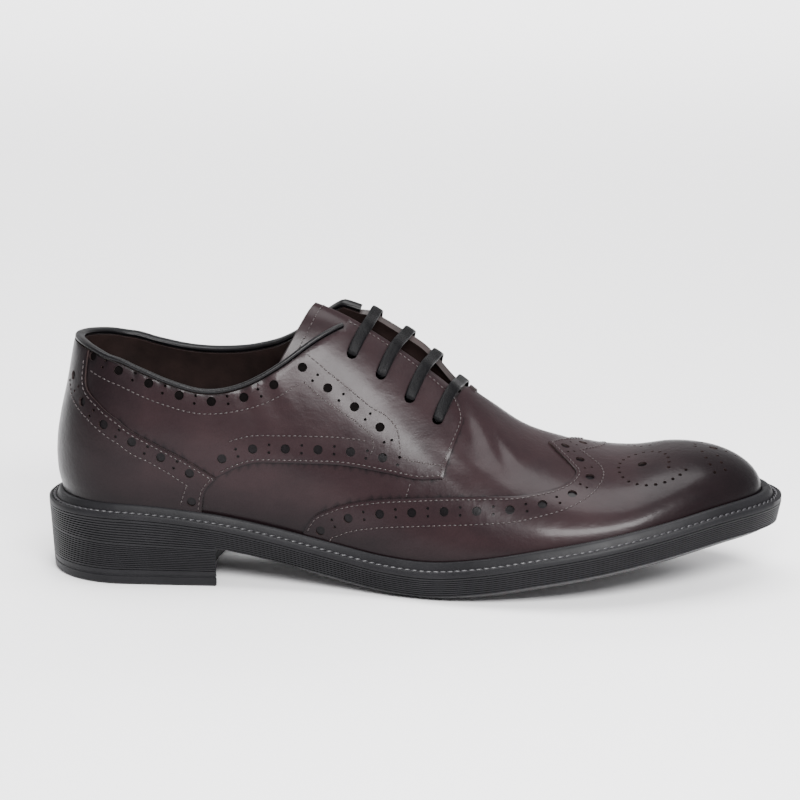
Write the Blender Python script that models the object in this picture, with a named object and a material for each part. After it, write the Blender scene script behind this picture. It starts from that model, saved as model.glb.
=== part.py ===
# A leather brogue, right shoe, standing empty on its rubber sole.
# Metres. The floor is z = 0. +X points to the toe, -Y to the outer side of the foot.
import math

import bmesh
import bpy
import numpy as np
from mathutils import Vector
from mathutils.geometry import delaunay_2d_cdt

for leftover in list(bpy.data.objects):
    bpy.data.objects.remove(leftover, do_unlink=True)

# Driving sizes of the sole
SOLE_LENGTH = 0.300
BALL_WIDTH = 0.104
SIDE_HEIGHT = 0.0097
BEVEL_HEIGHT = 0.0021
BEVEL_WIDTH = 0.0050
HEEL_RISE = 0.0184
TOE_SPRING = 0.0233
SIDE_GROOVE = 0.0004
BACK_SLOPE = 0.06
FLANK_SLOPE = 0.06
TOE_SLOPE = 0.16

# Driving sizes of the heel
HEEL_LENGTH = 0.0735
BREAST_HOLLOW = 0.0050
LIFT_THICKNESS = 0.0064
LIFT_CHAMFER = 0.0008

# Driving sizes of the welt
WELT_EDGE = 0.0020
WELT_RISE = 0.0036
WELT_AT_BACK = 0.0064
WELT_AT_TOE = 0.0084

# Driving sizes of the upper and of what it carries
BACK_HEIGHT = 0.0970
INSTEP_HEIGHT = 0.1110
WALL = 0.0022
OVERLAY = 0.0009
INSOLE_THICKNESS = 0.0030
INSOLE_TOE_ROOM = 0.0040
TONGUE_THICKNESS = 0.0024
TONGUE_ROOM = 0.0006
LACE_ROOM = 0.0022
BINDING_WIDTH = 0.0040
BINDING_HEIGHT = 0.0021
EYELET_RADIUS = 0.0022
LACE_WIDTH = 0.0040
LACE_THICKNESS = 0.0013
LACE_CORE = 0.0016
GAP = 0.0003

# Where the round ends of the plan begin, as shares of the length
HEEL_CENTRE = 0.115
TOE_CENTRE = 0.72
TOE_POWER = 2.2
TOP_CENTRE = 0.85
TOP_POWER = 2.6

# Plan of the sole. Columns: share of the length, outer and inner half width and
# sideways bend of the middle line, as shares of the ball width
PLAN = [
    (0.000, 0.322, 0.312, 0.000),
    (0.115, 0.338, 0.322, 0.000),
    (0.200, 0.336, 0.312, 0.000),
    (0.300, 0.334, 0.278, 0.000),
    (0.400, 0.360, 0.262, 0.000),
    (0.500, 0.424, 0.298, 0.000),
    (0.600, 0.486, 0.394, 0.000),
    (0.680, 0.509, 0.466, 0.004),
    (0.760, 0.500, 0.496, 0.012),
    (0.880, 0.440, 0.462, 0.030),
    (1.000, 0.345, 0.385, 0.045),
]

# Side line of the sole. Columns: share of the length, share of the heel's rise,
# share of the toe's spring, share of the bevel under the edge
LIFT = [
    (0.00, 0.960, 0.000, 0.0),
    (0.08, 1.000, 0.000, 0.0),
    (0.16, 0.945, 0.000, 0.0),
    (0.24, 0.790, 0.000, 0.0),
    (0.32, 0.540, 0.000, 0.5),
    (0.40, 0.253, 0.000, 1.0),
    (0.47, 0.050, 0.000, 1.0),
    (0.53, 0.000, 0.000, 1.0),
    (0.60, 0.000, 0.116, 1.0),
    (0.68, 0.000, 0.322, 1.0),
    (0.76, 0.000, 0.515, 1.0),
    (0.84, 0.000, 0.708, 1.0),
    (0.92, 0.000, 0.888, 1.0),
    (1.00, 0.000, 0.950, 1.0),
]

# Sections of the upper. Columns: share of the length; crown height as a share of
# the instep height; crown offset to the inner side as a share of the ball width;
# fullness and crown power, outer then inner side; side bulge, outer then inner,
# as shares of the ball width
SECTIONS = [
    (0.115, 1.135, 0.000, 2.40, 0.45, 2.40, 0.45, 0.019, 0.019),
    (0.200, 1.117, 0.000, 2.40, 0.45, 2.40, 0.45, 0.019, 0.024),
    (0.300, 1.090, 0.010, 2.30, 0.50, 2.30, 0.50, 0.014, 0.034),
    (0.413, 0.992, 0.030, 1.90, 0.56, 1.90, 0.56, 0.010, 0.038),
    (0.480, 0.880, 0.045, 1.80, 0.58, 1.90, 0.56, 0.005, 0.029),
    (0.540, 0.762, 0.055, 1.80, 0.58, 1.95, 0.55, 0.005, 0.019),
    (0.600, 0.630, 0.060, 1.90, 0.55, 2.00, 0.52, 0.005, 0.010),
    (0.650, 0.537, 0.065, 2.00, 0.52, 2.10, 0.50, 0.005, 0.005),
    (0.700, 0.486, 0.065, 2.10, 0.50, 2.20, 0.48, 0.005, 0.005),
    (0.750, 0.452, 0.060, 2.20, 0.48, 2.30, 0.47, 0.005, 0.005),
    (0.800, 0.447, 0.050, 2.25, 0.47, 2.35, 0.46, 0.005, 0.005),
    (0.850, 0.472, 0.035, 2.30, 0.47, 2.40, 0.46, 0.005, 0.005),
    (0.890, 0.478, 0.020, 2.40, 0.46, 2.40, 0.46, 0.005, 0.005),
    (1.000, 0.463, 0.000, 2.40, 0.46, 2.40, 0.46, 0.005, 0.005),
]

# Back curve. Columns: height and distance from the sole's back end, as shares of
# the back height
BACK_CURVE = [
    (0.28, 0.0880),
    (0.35, 0.0795),
    (0.41, 0.0635),
    (0.48, 0.0575),
    (0.57, 0.0615),
    (0.66, 0.0765),
    (0.80, 0.1085),
    (0.94, 0.1345),
    (1.01, 0.1485),
    (1.30, 0.1985),
]

# Width of the welt beside the upper. Columns: share of the length, share of the
# welt's width at the toe
WELT_SHELF = [
    (0.000, 0.80),
    (0.115, 0.70),
    (0.300, 0.66),
    (0.500, 0.73),
    (0.700, 0.87),
    (1.000, 0.98),
]

# Collar line. Columns: share of the length, outer and inner height as shares of the
# back height, which goes over to the crown's height between two shares of the length
CROWN_FROM = 0.10
CROWN_FULL = 0.40
COLLAR = [
    (0.0213, 0.977, 0.977),
    (0.060, 0.975, 0.962),
    (0.100, 0.938, 0.933),
    (0.140, 0.858, 0.867),
    (0.180, 0.784, 0.814),
    (0.235, 0.718, 0.776),
    (0.280, 0.719, 0.771),
    (0.330, 0.775, 0.805),
    (0.375, 0.859, 0.884),
    (0.400, 0.905, 0.936),
]

# Seams of the panels on the form. Columns: share of the length, share of the way
# up the section from the sole (0) to the crown (1)
COUNTER_SEAM = [(0.083, 0.60), (0.076, 0.43), (0.078, 0.36), (0.095, 0.31), (0.124, 0.25),
                (0.163, 0.21), (0.204, 0.175), (0.245, 0.135)]
COUNTER_FOOT = [(0.245, 0.135), (0.229, 0.09), (0.223, 0.00)]
QUARTER_LOW = [(0.245, 0.135), (0.267, 0.165), (0.291, 0.19), (0.331, 0.21), (0.371, 0.23),
               (0.425, 0.26), (0.478, 0.285), (0.519, 0.305), (0.549, 0.34)]
QUARTER_FRONT = [(0.549, 0.34), (0.556, 0.43), (0.564, 0.52), (0.570, 0.60), (0.572, 0.66),
                 (0.568, 0.710), (0.560, 0.748)]
WING_SEAM = [(0.354, 0.00), (0.372, 0.08), (0.399, 0.125), (0.452, 0.185), (0.507, 0.235),
             (0.559, 0.285), (0.612, 0.345), (0.665, 0.42), (0.702, 0.50), (0.719, 0.58),
             (0.724, 0.65), (0.714, 0.72), (0.698, 0.80), (0.684, 0.88)]
SEAM_MIDDLE = 0.12

# The inner side's quarter and facing lie further forward: by this share of the length,
# which comes in between two shares of the length
INNER_FORWARD = 0.024
FORWARD_FROM = 0.30
FORWARD_FULL = 0.45

# Throat and eyelets, with the same columns; the bow is a share of the length
THROAT_EDGE = [(0.415, 0.800), (0.430, 0.800), (0.480, 0.790), (0.560, 0.748)]
THROAT_BOW = 0.003
EYELETS = [(0.422, 0.630), (0.461, 0.608), (0.500, 0.580), (0.538, 0.560)]

# Top edge of the tongue. Columns: share of the way from its outer to its inner side,
# share of the length
TONGUE_TOP = [
    (0.00, 0.322),
    (0.12, 0.341),
    (0.30, 0.361),
    (0.50, 0.372),
    (0.70, 0.368),
    (1.00, 0.357),
]
TONGUE_FRONT = 0.600
TONGUE_HALF = 0.52

# Profile of the welt. Columns: share of the way in from the sole's edge to the upper,
# share of the welt's rise
WELT_PROFILE = [
    (0.00, 0.00),
    (0.14, 0.14),
    (0.34, 0.20),
    (0.46, 0.62),
    (0.56, 1.00),
    (0.72, 1.00),
    (0.84, 0.80),
    (1.00, 0.80),
]

# Grooves round the sole's side and the heel. Columns: share of the way down, share of
# the groove's depth
SOLE_GROOVES = [
    (0.00, 0.0),
    (0.30, 0.0),
    (0.34, 1.0),
    (0.38, 0.0),
    (0.62, 0.0),
    (0.66, 1.0),
    (0.70, 0.0),
    (1.00, 0.0),
]
HEEL_GROOVES = [
    (0.00, 0.0),
    (0.30, 0.0),
    (0.34, 1.0),
    (0.38, 0.0),
    (0.64, 0.0),
    (0.68, 1.0),
    (0.72, 0.0),
    (1.00, 0.0),
]

# Route of the lace: shares of an eyelet's place at which a bar's bends lie, shares of
# the hole's depth, shares along a hidden run, and how far its ends go past the eyelets
BAR_BENDS = (0.90, 0.70, 0.50)
HIDDEN_BENDS = (0.12, 0.50, 0.88)
END_FIRST = 0.0015
END_LAST = 0.0040

# Mesh fineness
HEEL_STEPS = 6
FLANK_STEPS = 20
TOE_STEPS = 10
GRID_ROWS = 8
COLLAR_TURN_STEPS = 6
COLLAR_STEPS = 12
THROAT_POINTS = 9
THROAT_END_STEPS = 6
BACK_STEPS = 8
TIP_STEPS = 16
WING_POINTS = 30
SEAM_POINTS = 16
FRONT_POINTS = 13
COUNTER_FOOT_POINTS = 5
BREAST_STEPS = 8
HEEL_FLANK_STEPS = 4
TONGUE_STEPS = 14
RING_SIDES = 8
OUTER_SPACING = 0.0026
INNER_SPACING = 0.0045
NORMAL_STEP = 0.0004
DOMAIN_HEIGHT = 0.060
SNAP = 1e-6
PAST_FOOT = 1.02
NEAR_FOOT = 0.985
SHARP_ANGLE = math.radians(35)

# Shares that shape the form and its small parts
BULGE_TOP = 0.70
COLLAR_CORNER = 0.35
ROUND_POWER = 0.60
NEAR_CROWN = 0.8725
TREAD_FLAT = 0.0004

BACK_X = WELT_AT_BACK
TIP_X = SOLE_LENGTH - WELT_AT_TOE
HEEL_X = HEEL_CENTRE * SOLE_LENGTH
TOE_X = TOE_CENTRE * SOLE_LENGTH
MIDDLE_X = 0.5 * SOLE_LENGTH


def curve(table, at, column=1):
    """Read a table's column at a share of its first column, as a smooth curve."""
    keys = np.array([row[0] for row in table])
    values = np.array([row[column] for row in table])
    step = np.diff(keys)
    slope = np.diff(values) / step
    tangent = np.concatenate([
        slope[:1],
        (slope[:-1] * step[1:] + slope[1:] * step[:-1]) / (step[:-1] + step[1:]),
        slope[-1:],
    ])
    at = np.clip(np.asarray(at, float), keys[0], keys[-1])
    i = np.clip(np.searchsorted(keys, at, side="right") - 1, 0, len(keys) - 2)
    t = (at - keys[i]) / step[i]
    start = (1 + 2 * t) * (1 - t) ** 2 * values[i] + t * (1 - t) ** 2 * step[i] * tangent[i]
    end = t * t * (3 - 2 * t) * values[i + 1] + t * t * (t - 1) * step[i] * tangent[i + 1]
    return start + end


def edge_height(x):
    """Height of the sole's upper side edge above the floor."""
    share = x / SOLE_LENGTH
    forefoot = SIDE_HEIGHT + BEVEL_HEIGHT
    return forefoot + HEEL_RISE * curve(LIFT, share, 1) + TOE_SPRING * curve(LIFT, share, 2)


def foot_height(x):
    """Height at which the upper and the insole rest on the sole."""
    return edge_height(x) - WELT_EDGE


def seat_height(x):
    """Flat, slightly tilted joint between the sole and the heel."""
    back = edge_height(0.0) - SIDE_HEIGHT
    front = edge_height(HEEL_LENGTH) - SIDE_HEIGHT
    return back + (front - back) * x / HEEL_LENGTH


def side_foot(x):
    """Height of the lower edge of the sole's side."""
    return np.where(x < HEEL_LENGTH, seat_height(x), edge_height(x) - SIDE_HEIGHT)


def tread_height(x):
    """Height of the sole's underside, which is flat where it meets the floor."""
    bevel = (BEVEL_HEIGHT + TREAD_FLAT) * curve(LIFT, x / SOLE_LENGTH, 3)
    return np.maximum(side_foot(x) - bevel, 0.0)


def flank_width(x, side):
    """Half width of the sole's plan before its ends are rounded."""
    share = x / SOLE_LENGTH
    return np.where(side < 0, curve(PLAN, share, 1), curve(PLAN, share, 2)) * BALL_WIDTH


def middle_line(x):
    return curve(PLAN, x / SOLE_LENGTH, 3) * BALL_WIDTH


def stations():
    """Angle round the heel, place along the flank and angle round the toe, in order."""
    heel = [("heel", a) for a in np.linspace(0, math.pi / 2, HEEL_STEPS + 1)]
    flank = [("flank", x) for x in np.linspace(HEEL_X, TOE_X, FLANK_STEPS + 1)[1:]]
    toe = [("toe", a) for a in np.linspace(0, math.pi / 2, TOE_STEPS + 1)[1:]]
    return heel + flank + toe


STATIONS = stations()
LAST_STATION = len(STATIONS) - 1


def ring(points):
    """Round the plan: the outer side from back to tip, then the inner side back again."""
    outer = points(-1.0)
    inner = points(1.0)
    return outer + inner[-2:0:-1]


def plan_point(station, side, back, flank, tip):
    """A point of the sole's plan, drawn in by a margin at the back, flank and tip."""
    kind, value = station
    tip_x = SOLE_LENGTH - tip
    if kind == "heel":
        x = HEEL_X - (HEEL_X - back) * math.cos(value)
        width = (flank_width(HEEL_X, side) - flank) * math.sin(value)
    elif kind == "flank":
        x = value
        width = flank_width(x, side) - flank
    else:
        x = TOE_X + (tip_x - TOE_X) * math.sin(value)
        round_off = max(0.0, 1 - math.sin(value) ** TOE_POWER) ** (1 / TOE_POWER)
        width = (flank_width(x, side) - flank) * round_off
    return float(x), float(side * width + middle_line(x))


def sole_ring(depth, height, inset=0.0):
    """A ring round the sole's side, drawn in as it goes down from its upper edge."""
    back = BACK_SLOPE * depth + inset
    flank = FLANK_SLOPE * depth + inset
    tip = TOE_SLOPE * depth + inset

    def points(side):
        flat = [plan_point(s, side, back, flank, tip) for s in STATIONS]
        return [(x - MIDDLE_X, y, float(height(x))) for x, y in flat]

    return ring(points)


def form(p, q):
    """The outer form of the upper. p runs along it, q from -1 at the outer side's foot
    through 0 at the crown to 1 at the inner side's foot."""
    p = np.where(np.asarray(p, float) > TIP_X - SNAP, TIP_X, p)
    q = np.asarray(q, float)
    side = np.where(q < 0, -1.0, 1.0)
    rise_share = np.sin((1 - np.minimum(np.abs(q), 1)) * math.pi / 2)
    section_x = np.maximum(p, HEEL_X)
    share = section_x / SOLE_LENGTH
    turn = np.maximum(HEEL_X - p, 0) / (HEEL_X - BACK_X) * math.pi / 2
    foot_x = np.where(p < HEEL_X, HEEL_X - (HEEL_X - BACK_X) * np.sin(turn), section_x)
    foot = foot_height(foot_x)
    blunt = np.clip((section_x - TOP_CENTRE * SOLE_LENGTH) / (TIP_X - TOP_CENTRE * SOLE_LENGTH), 0, 1)
    crown = INSTEP_HEIGHT * curve(SECTIONS, share, 1) - foot
    z = foot + crown * (1 - blunt ** TOP_POWER) ** (1 / TOP_POWER) * rise_share
    close = np.clip((section_x - TOE_X) / (TIP_X - TOE_X), 0, 1)
    full = np.where(side < 0, curve(SECTIONS, share, 3), curve(SECTIONS, share, 5))
    power = np.where(side < 0, curve(SECTIONS, share, 4), curve(SECTIONS, share, 6))
    bulge = np.where(side < 0, curve(SECTIONS, share, 7), curve(SECTIONS, share, 8)) * BALL_WIDTH
    width = flank_width(section_x, side) - WELT_AT_TOE * curve(WELT_SHELF, share)
    width = width * (1 - close ** TOE_POWER) ** (1 / TOE_POWER)
    width = width + bulge * np.sin(math.pi * np.clip(rise_share / BULGE_TOP, 0, 1)) * (1 - close)
    width = width * np.maximum(1 - rise_share ** full, 0) ** power
    offset = curve(SECTIONS, share, 2) * BALL_WIDTH * rise_share ** 2 * (1 - close ** 2)
    y = (side * width + offset) * np.cos(turn) + middle_line(section_x)
    back = BACK_HEIGHT * curve(BACK_CURVE, z / BACK_HEIGHT)
    x = np.where(p < HEEL_X, HEEL_X - (HEEL_X - back) * np.sin(turn), section_x)
    return np.stack([x - MIDDLE_X, y, z], -1)


def outward(p, q):
    """Unit normal of the form, pointing out of the shoe."""
    p = np.asarray(p, float)
    q = np.asarray(q, float)
    low = np.clip(q - NORMAL_STEP / DOMAIN_HEIGHT, -1, 1)
    high = np.clip(q + NORMAL_STEP / DOMAIN_HEIGHT, -1, 1)
    inside = np.minimum(p, TIP_X - NORMAL_STEP)
    along = form(inside + NORMAL_STEP, q) - form(inside - NORMAL_STEP, q)
    across = form(inside, high) - form(inside, low)
    normal = np.cross(along, across)
    normal = normal / np.maximum(np.linalg.norm(normal, axis=-1, keepdims=True), 1e-15)
    at_tip = (p > TIP_X - SNAP)[..., None]
    return np.where(at_tip, np.array([1.0, 0.0, 0.0]), normal)


def on_form(p, q, offset):
    """Points at an offset from the form, positive to the outside."""
    p, q = np.broadcast_arrays(np.asarray(p, float), np.asarray(q, float))
    return form(p, q) + outward(p, q) * np.asarray(offset, float)[..., None]


def way_up(p, height):
    """The share of the way up the section at which the form has this height."""
    section_x = max(p, HEEL_X)
    turn = max(HEEL_X - p, 0) / (HEEL_X - BACK_X) * math.pi / 2
    foot_x = HEEL_X - (HEEL_X - BACK_X) * math.sin(turn) if p < HEEL_X else p
    foot = foot_height(foot_x)
    crown = float(form(section_x, 0.0)[2])
    share = (height - foot) / (crown - foot)
    return math.asin(min(1.0, max(0.0, share))) * 2 / math.pi


def smooth_line(points, count):
    """A smooth line through a few points, with evenly spaced points along it."""
    array = np.array(points, float)
    scaled = array * [1.0, DOMAIN_HEIGHT / SOLE_LENGTH]
    length = np.concatenate([[0], np.cumsum(np.linalg.norm(np.diff(scaled, axis=0), axis=1))])
    table = [(s, a, b) for s, (a, b) in zip(length / length[-1], points)]
    at = np.linspace(0, 1, count)
    return list(zip(curve(table, at, 1), curve(table, at, 2)))


def seam(points, side, count, forward=INNER_FORWARD):
    """A panel's seam on one side of the shoe, as (p, q)."""
    line = []
    for share, up in smooth_line(points, count):
        part = min(1.0, max(0.0, (share - FORWARD_FROM) / (FORWARD_FULL - FORWARD_FROM)))
        ahead = forward * part if side > 0 else 0.0
        line.append(((share + ahead) * SOLE_LENGTH, side * (1 - up)))
    return line


def throat(side):
    """The facing's edge from its top corner to the end of the throat."""
    return seam(THROAT_EDGE, side, THROAT_POINTS)


def collar_scale(share):
    """The height that the collar follows: the back's height, and the crown's further on."""
    part = min(1.0, max(0.0, (share - CROWN_FROM) / (CROWN_FULL - CROWN_FROM)))
    crown = INSTEP_HEIGHT * float(curve(SECTIONS, share))
    return BACK_HEIGHT + (crown - BACK_HEIGHT) * part


def collar(side):
    """The collar from the back seam to the facing's top corner."""
    first = throat(side)[0]
    turns = np.linspace(BACK_X / SOLE_LENGTH, HEEL_CENTRE, COLLAR_TURN_STEPS + 1)
    shares = np.linspace(HEEL_CENTRE, COLLAR[-1][0], COLLAR_STEPS + 1)[1:]
    line = []
    for share in [*turns, *shares]:
        p = share * SOLE_LENGTH
        column = 1 if side < 0 or share == turns[0] else 2
        height = collar_scale(share) * float(curve(COLLAR, share, column))
        line.append((p, side * (1 - way_up(p, height))))
    end = line[-1]
    corner_p = end[0] + (first[0] - end[0]) * (1 - COLLAR_CORNER)
    corner_q = end[1] + (first[1] - end[1]) * COLLAR_CORNER
    return line + [(corner_p, corner_q)]


def opening_line():
    """The rim of the upper, from the outer facing's front round the back to the inner one."""
    outer = collar(-1.0) + throat(-1.0)
    inner = collar(1.0) + throat(1.0)
    return outer[::-1], inner


def wing_line():
    """The wing cap's edge: up the outer side, over its peak and down the inner side."""
    outer = seam(WING_SEAM, -1.0, WING_POINTS, 0.0)
    inner = seam(WING_SEAM, 1.0, WING_POINTS, 0.0)
    shift = np.linspace(0, SEAM_MIDDLE, WING_POINTS) ** 2 / SEAM_MIDDLE
    inner = [(p, q - 2 * s) for (p, q), s in zip(inner, shift)]
    return outer + inner[::-1]


def inside(point, polygon):
    x, y = point
    odd = False
    for (ax, ay), (bx, by) in zip(polygon, polygon[1:] + polygon[:1]):
        if (ay > y) != (by > y) and x < (bx - ax) * (y - ay) / (by - ay) + ax:
            odd = not odd
    return odd


def eyelet_loop(p, q):
    """A punched eyelet on the form, as a loop of (p, q)."""
    step = NORMAL_STEP
    turn_step = NORMAL_STEP / DOMAIN_HEIGHT
    along = np.linalg.norm(form(p + step, q) - form(p - step, q)) / (2 * step)
    across = np.linalg.norm(form(p, q + turn_step) - form(p, q - turn_step)) / (2 * turn_step)
    turn = [2 * math.pi * (i + 0.5) / RING_SIDES for i in range(RING_SIDES)]
    return [(p + EYELET_RADIUS * math.cos(a) / along, q + EYELET_RADIUS * math.sin(a) / across)
            for a in turn]


def eyelet_places(side):
    return [seam([(share, up), (share + NORMAL_STEP, up)], side, 2)[0] for share, up in EYELETS]


class Pattern:
    """The upper laid out flat in (p, q): its outline, eyelets and panel seams."""

    def __init__(self):
        outer_rim, inner_rim = opening_line()
        foot = [self.station_p(s) for s in STATIONS]
        foot_outer = [(p, -1.0) for p in foot]
        foot_inner = [(p, 1.0) for p in foot]
        tip = [(TIP_X, q) for q in np.linspace(-1, 1, TIP_STEPS + 1)[1:-1]]
        back_outer = self.back_edge(outer_rim[-1][1], -1.0)
        back_inner = self.back_edge(inner_rim[0][1], 1.0)
        rim = self.throat_end(outer_rim[0], inner_rim[-1])[::-1] + outer_rim
        self.outline = (rim + back_outer + foot_outer + tip + foot_inner[::-1]
                        + back_inner[::-1] + inner_rim)
        self.holes = [eyelet_loop(p, q) for side in (-1.0, 1.0) for p, q in eyelet_places(side)]
        self.wing = wing_line()
        self.counters = [self.joined(COUNTER_SEAM, SEAM_POINTS, COUNTER_FOOT, COUNTER_FOOT_POINTS, side)
                         for side in (-1.0, 1.0)]
        self.quarters = [self.joined(QUARTER_LOW, SEAM_POINTS, QUARTER_FRONT, FRONT_POINTS, side)
                         for side in (-1.0, 1.0)]

    @staticmethod
    def back_edge(rim, foot):
        """The back seam of the flat pattern, between its rim and its foot."""
        return [(BACK_X, q) for q in np.linspace(rim, foot, BACK_STEPS + 1)[1:-1]]

    @staticmethod
    def throat_end(outer, inner):
        """The short bowed edge across the throat's front end."""
        line = []
        for t in np.linspace(0, 1, THROAT_END_STEPS + 1)[1:-1]:
            bow = THROAT_BOW * SOLE_LENGTH * 4 * t * (1 - t)
            line.append((outer[0] + (inner[0] - outer[0]) * t + bow, outer[1] + (inner[1] - outer[1]) * t))
        return line

    @staticmethod
    def joined(first, first_count, second, second_count, side):
        """One seam made of two smooth stretches that meet at a corner."""
        return seam(first, side, first_count) + seam(second, side, second_count)[1:]

    @staticmethod
    def station_p(station):
        kind, value = station
        if kind == "heel":
            return HEEL_X - (HEEL_X - BACK_X) * (1 - value / (math.pi / 2))
        if kind == "flank":
            return value
        return TOE_X + (TIP_X - TOE_X) * math.sin(value)

    def level(self, point):
        """How many layers of leather lie on the vamp here: 0, 1 or 2."""
        p, q = point
        far = 2 * SOLE_LENGTH
        if inside(point, self.wing + [(far, 2.0), (far, -2.0)]):
            return 1
        which = 0 if q < 0 else 1
        side = -1.0 if q < 0 else 1.0
        counter = self.counters[which]
        if inside(point, counter + [(counter[-1][0], side * 2), (-far, side * 2), (-far, 0.0),
                                    (counter[0][0], 0.0)]):
            return 2
        quarter = self.quarters[which]
        if inside(point, quarter + [(quarter[-1][0], 0.0), (-far, 0.0), (-far, quarter[0][1])]):
            return 1
        return 0

    def foot_rows(self):
        """Rows beside the insole and the welt, where the solids fit close to each other."""
        rows = []
        for height in (INSOLE_THICKNESS + 2 * GAP, WELT_EDGE + WELT_RISE + 2 * GAP):
            up = rise_to(height)
            for side in (-1.0, 1.0):
                reach = [self.station_p(s) for s in STATIONS[:-1]]
                rows.append([(p, side * (1 - up(p))) for p in reach])
        return rows

    def lines(self):
        """Panel seams, with the ends that meet the outline drawn across it."""
        wing = [(self.wing[0][0], -PAST_FOOT)] + self.wing + [(self.wing[-1][0], PAST_FOOT)]
        found = [wing]
        for side, counter in zip((-1.0, 1.0), self.counters):
            found.append(counter + [(counter[-1][0], side * PAST_FOOT)])
        found.extend(self.quarters)
        return found


def inside_any(point, polygons):
    return any(inside(point, polygon) for polygon in polygons)


def distance_to(point, segments):
    ends, ways, squares = segments
    t = np.clip(((point - ends) * ways).sum(1) / squares, 0, 1)
    return np.linalg.norm(ends + ways * t[:, None] - point, axis=1).min()


def scaled(point):
    return np.array([point[0], point[1] * DOMAIN_HEIGHT])


def flat_mesh(outline, holes, lines, spacing, places):
    """Triangles of the flat pattern, cut along its outline, holes and seams."""
    points = []
    edges = []
    for loop, closed in [(outline, True)] + [(h, True) for h in holes] + [(l, False) for l in lines]:
        start = len(points)
        points.extend(scaled(p) for p in loop)
        edges.extend((start + i, start + i + 1) for i in range(len(loop) - 1))
        if closed:
            edges.append((start + len(loop) - 1, start))
    array = np.array(points)
    ends = array[[a for a, b in edges]]
    ways = array[[b for a, b in edges]] - ends
    segments = (ends, ways, np.maximum((ways ** 2).sum(1), 1e-18))
    for place in places:
        if distance_to(scaled(place), segments) > spacing:
            points.append(scaled(place))
    found = delaunay_2d_cdt([Vector(p) for p in points], edges, [], 0, 1e-8)
    flat = [(v[0], v[1] / DOMAIN_HEIGHT) for v in found[0]]
    kept = []
    for face in found[2]:
        middle = tuple(np.mean([flat[i] for i in face], axis=0))
        if inside(middle, outline) and not inside_any(middle, holes):
            kept.append(tuple(face))
    return flat, kept


def grid_places(step):
    """Evenly spread points of the flat pattern."""
    places = []
    for number, station in enumerate(STATIONS):
        if number % step:
            continue
        p = Pattern.station_p(station)
        for i in range(-GRID_ROWS * 2 // step + 1, GRID_ROWS * 2 // step):
            places.append((p, i * step / (GRID_ROWS * 2)))
    return places


def build_upper():
    """One hollow solid: the outer face with a step at each panel, the inner face and rims."""
    pattern = Pattern()
    rows = pattern.foot_rows()
    lines = pattern.lines() + rows
    flat, faces = flat_mesh(pattern.outline, pattern.holes, lines, OUTER_SPACING, grid_places(1))
    levels = [pattern.level(tuple(np.mean([flat[i] for i in face], axis=0))) for face in faces]
    columns = [set() for _ in flat]
    for face, level in zip(faces, levels):
        for i in face:
            columns[i].add(level)
    places = np.array(flat)
    height = [on_form(places[:, 0], places[:, 1], np.full(len(flat), OVERLAY * k)) for k in range(3)]
    floor = on_form(places[:, 0], places[:, 1], np.full(len(flat), -WALL))
    vertices = []
    index = {}

    def vertex(i, level):
        if (i, level) not in index:
            index[(i, level)] = len(vertices)
            vertices.append(floor[i] if level < 0 else height[level][i])
        return index[(i, level)]

    polygons = [tuple(vertex(i, level) for i in face) for face, level in zip(faces, levels)]

    def step_wall(a, b, low, high):
        """A wall under the edge a to b, between two levels, split where others meet it."""
        rise_a = [k for k in sorted(columns[a] | {low, high}) if low <= k <= high]
        rise_b = [k for k in sorted(columns[b] | {low, high}) if low <= k <= high]
        return tuple([vertex(b, k) for k in reversed(rise_b)] + [vertex(a, k) for k in rise_a])

    owner = {}
    for face, level in zip(faces, levels):
        for a, b in zip(face, face[1:] + face[:1]):
            owner[(a, b)] = level
    rims = []
    for (a, b), level in owner.items():
        other = owner.get((b, a))
        if other is None:
            rims.append((a, b, level))
        elif level > other:
            polygons.append(step_wall(a, b, other, level))

    rim_points = {i for a, b, _ in rims for i in (a, b)}
    loops = chain([(a, b) for a, b, _ in rims])
    inner_loops = [[flat[i] for i in loop] for loop in loops]
    inner_loops.sort(key=len, reverse=True)
    inner_flat, inner_faces = flat_mesh(inner_loops[0], inner_loops[1:], rows, INNER_SPACING, grid_places(2))
    same = {}
    lookup = {key_of(flat[i]): i for i in rim_points}
    inner_places = np.array(inner_flat)
    inner_floor = on_form(inner_places[:, 0], inner_places[:, 1], np.full(len(inner_flat), -WALL))
    for j, place in enumerate(inner_flat):
        i = lookup.get(key_of(place))
        if i is not None:
            same[j] = vertex(i, -1)
        else:
            same[j] = len(vertices)
            vertices.append(inner_floor[j])
    polygons.extend(tuple(same[j] for j in reversed(face)) for face in inner_faces)

    for a, b, level in rims:
        on_back = max(flat[a][0], flat[b][0]) < BACK_X + SNAP
        on_tip = min(flat[a][0], flat[b][0]) > TIP_X - SNAP
        if on_back or on_tip:
            continue
        polygons.append(step_wall(a, b, -1, level))
    return vertices, polygons


def key_of(place):
    return round(place[0], 6), round(place[1], 5)


def chain(edges):
    """Loops of points from loose directed edges."""
    follow = dict(edges)
    loops = []
    while follow:
        start, current = next(iter(follow.items()))
        loop = [start]
        del follow[start]
        while current != start:
            loop.append(current)
            current = follow.pop(current)
        loops.append(loop)
    return loops


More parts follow.
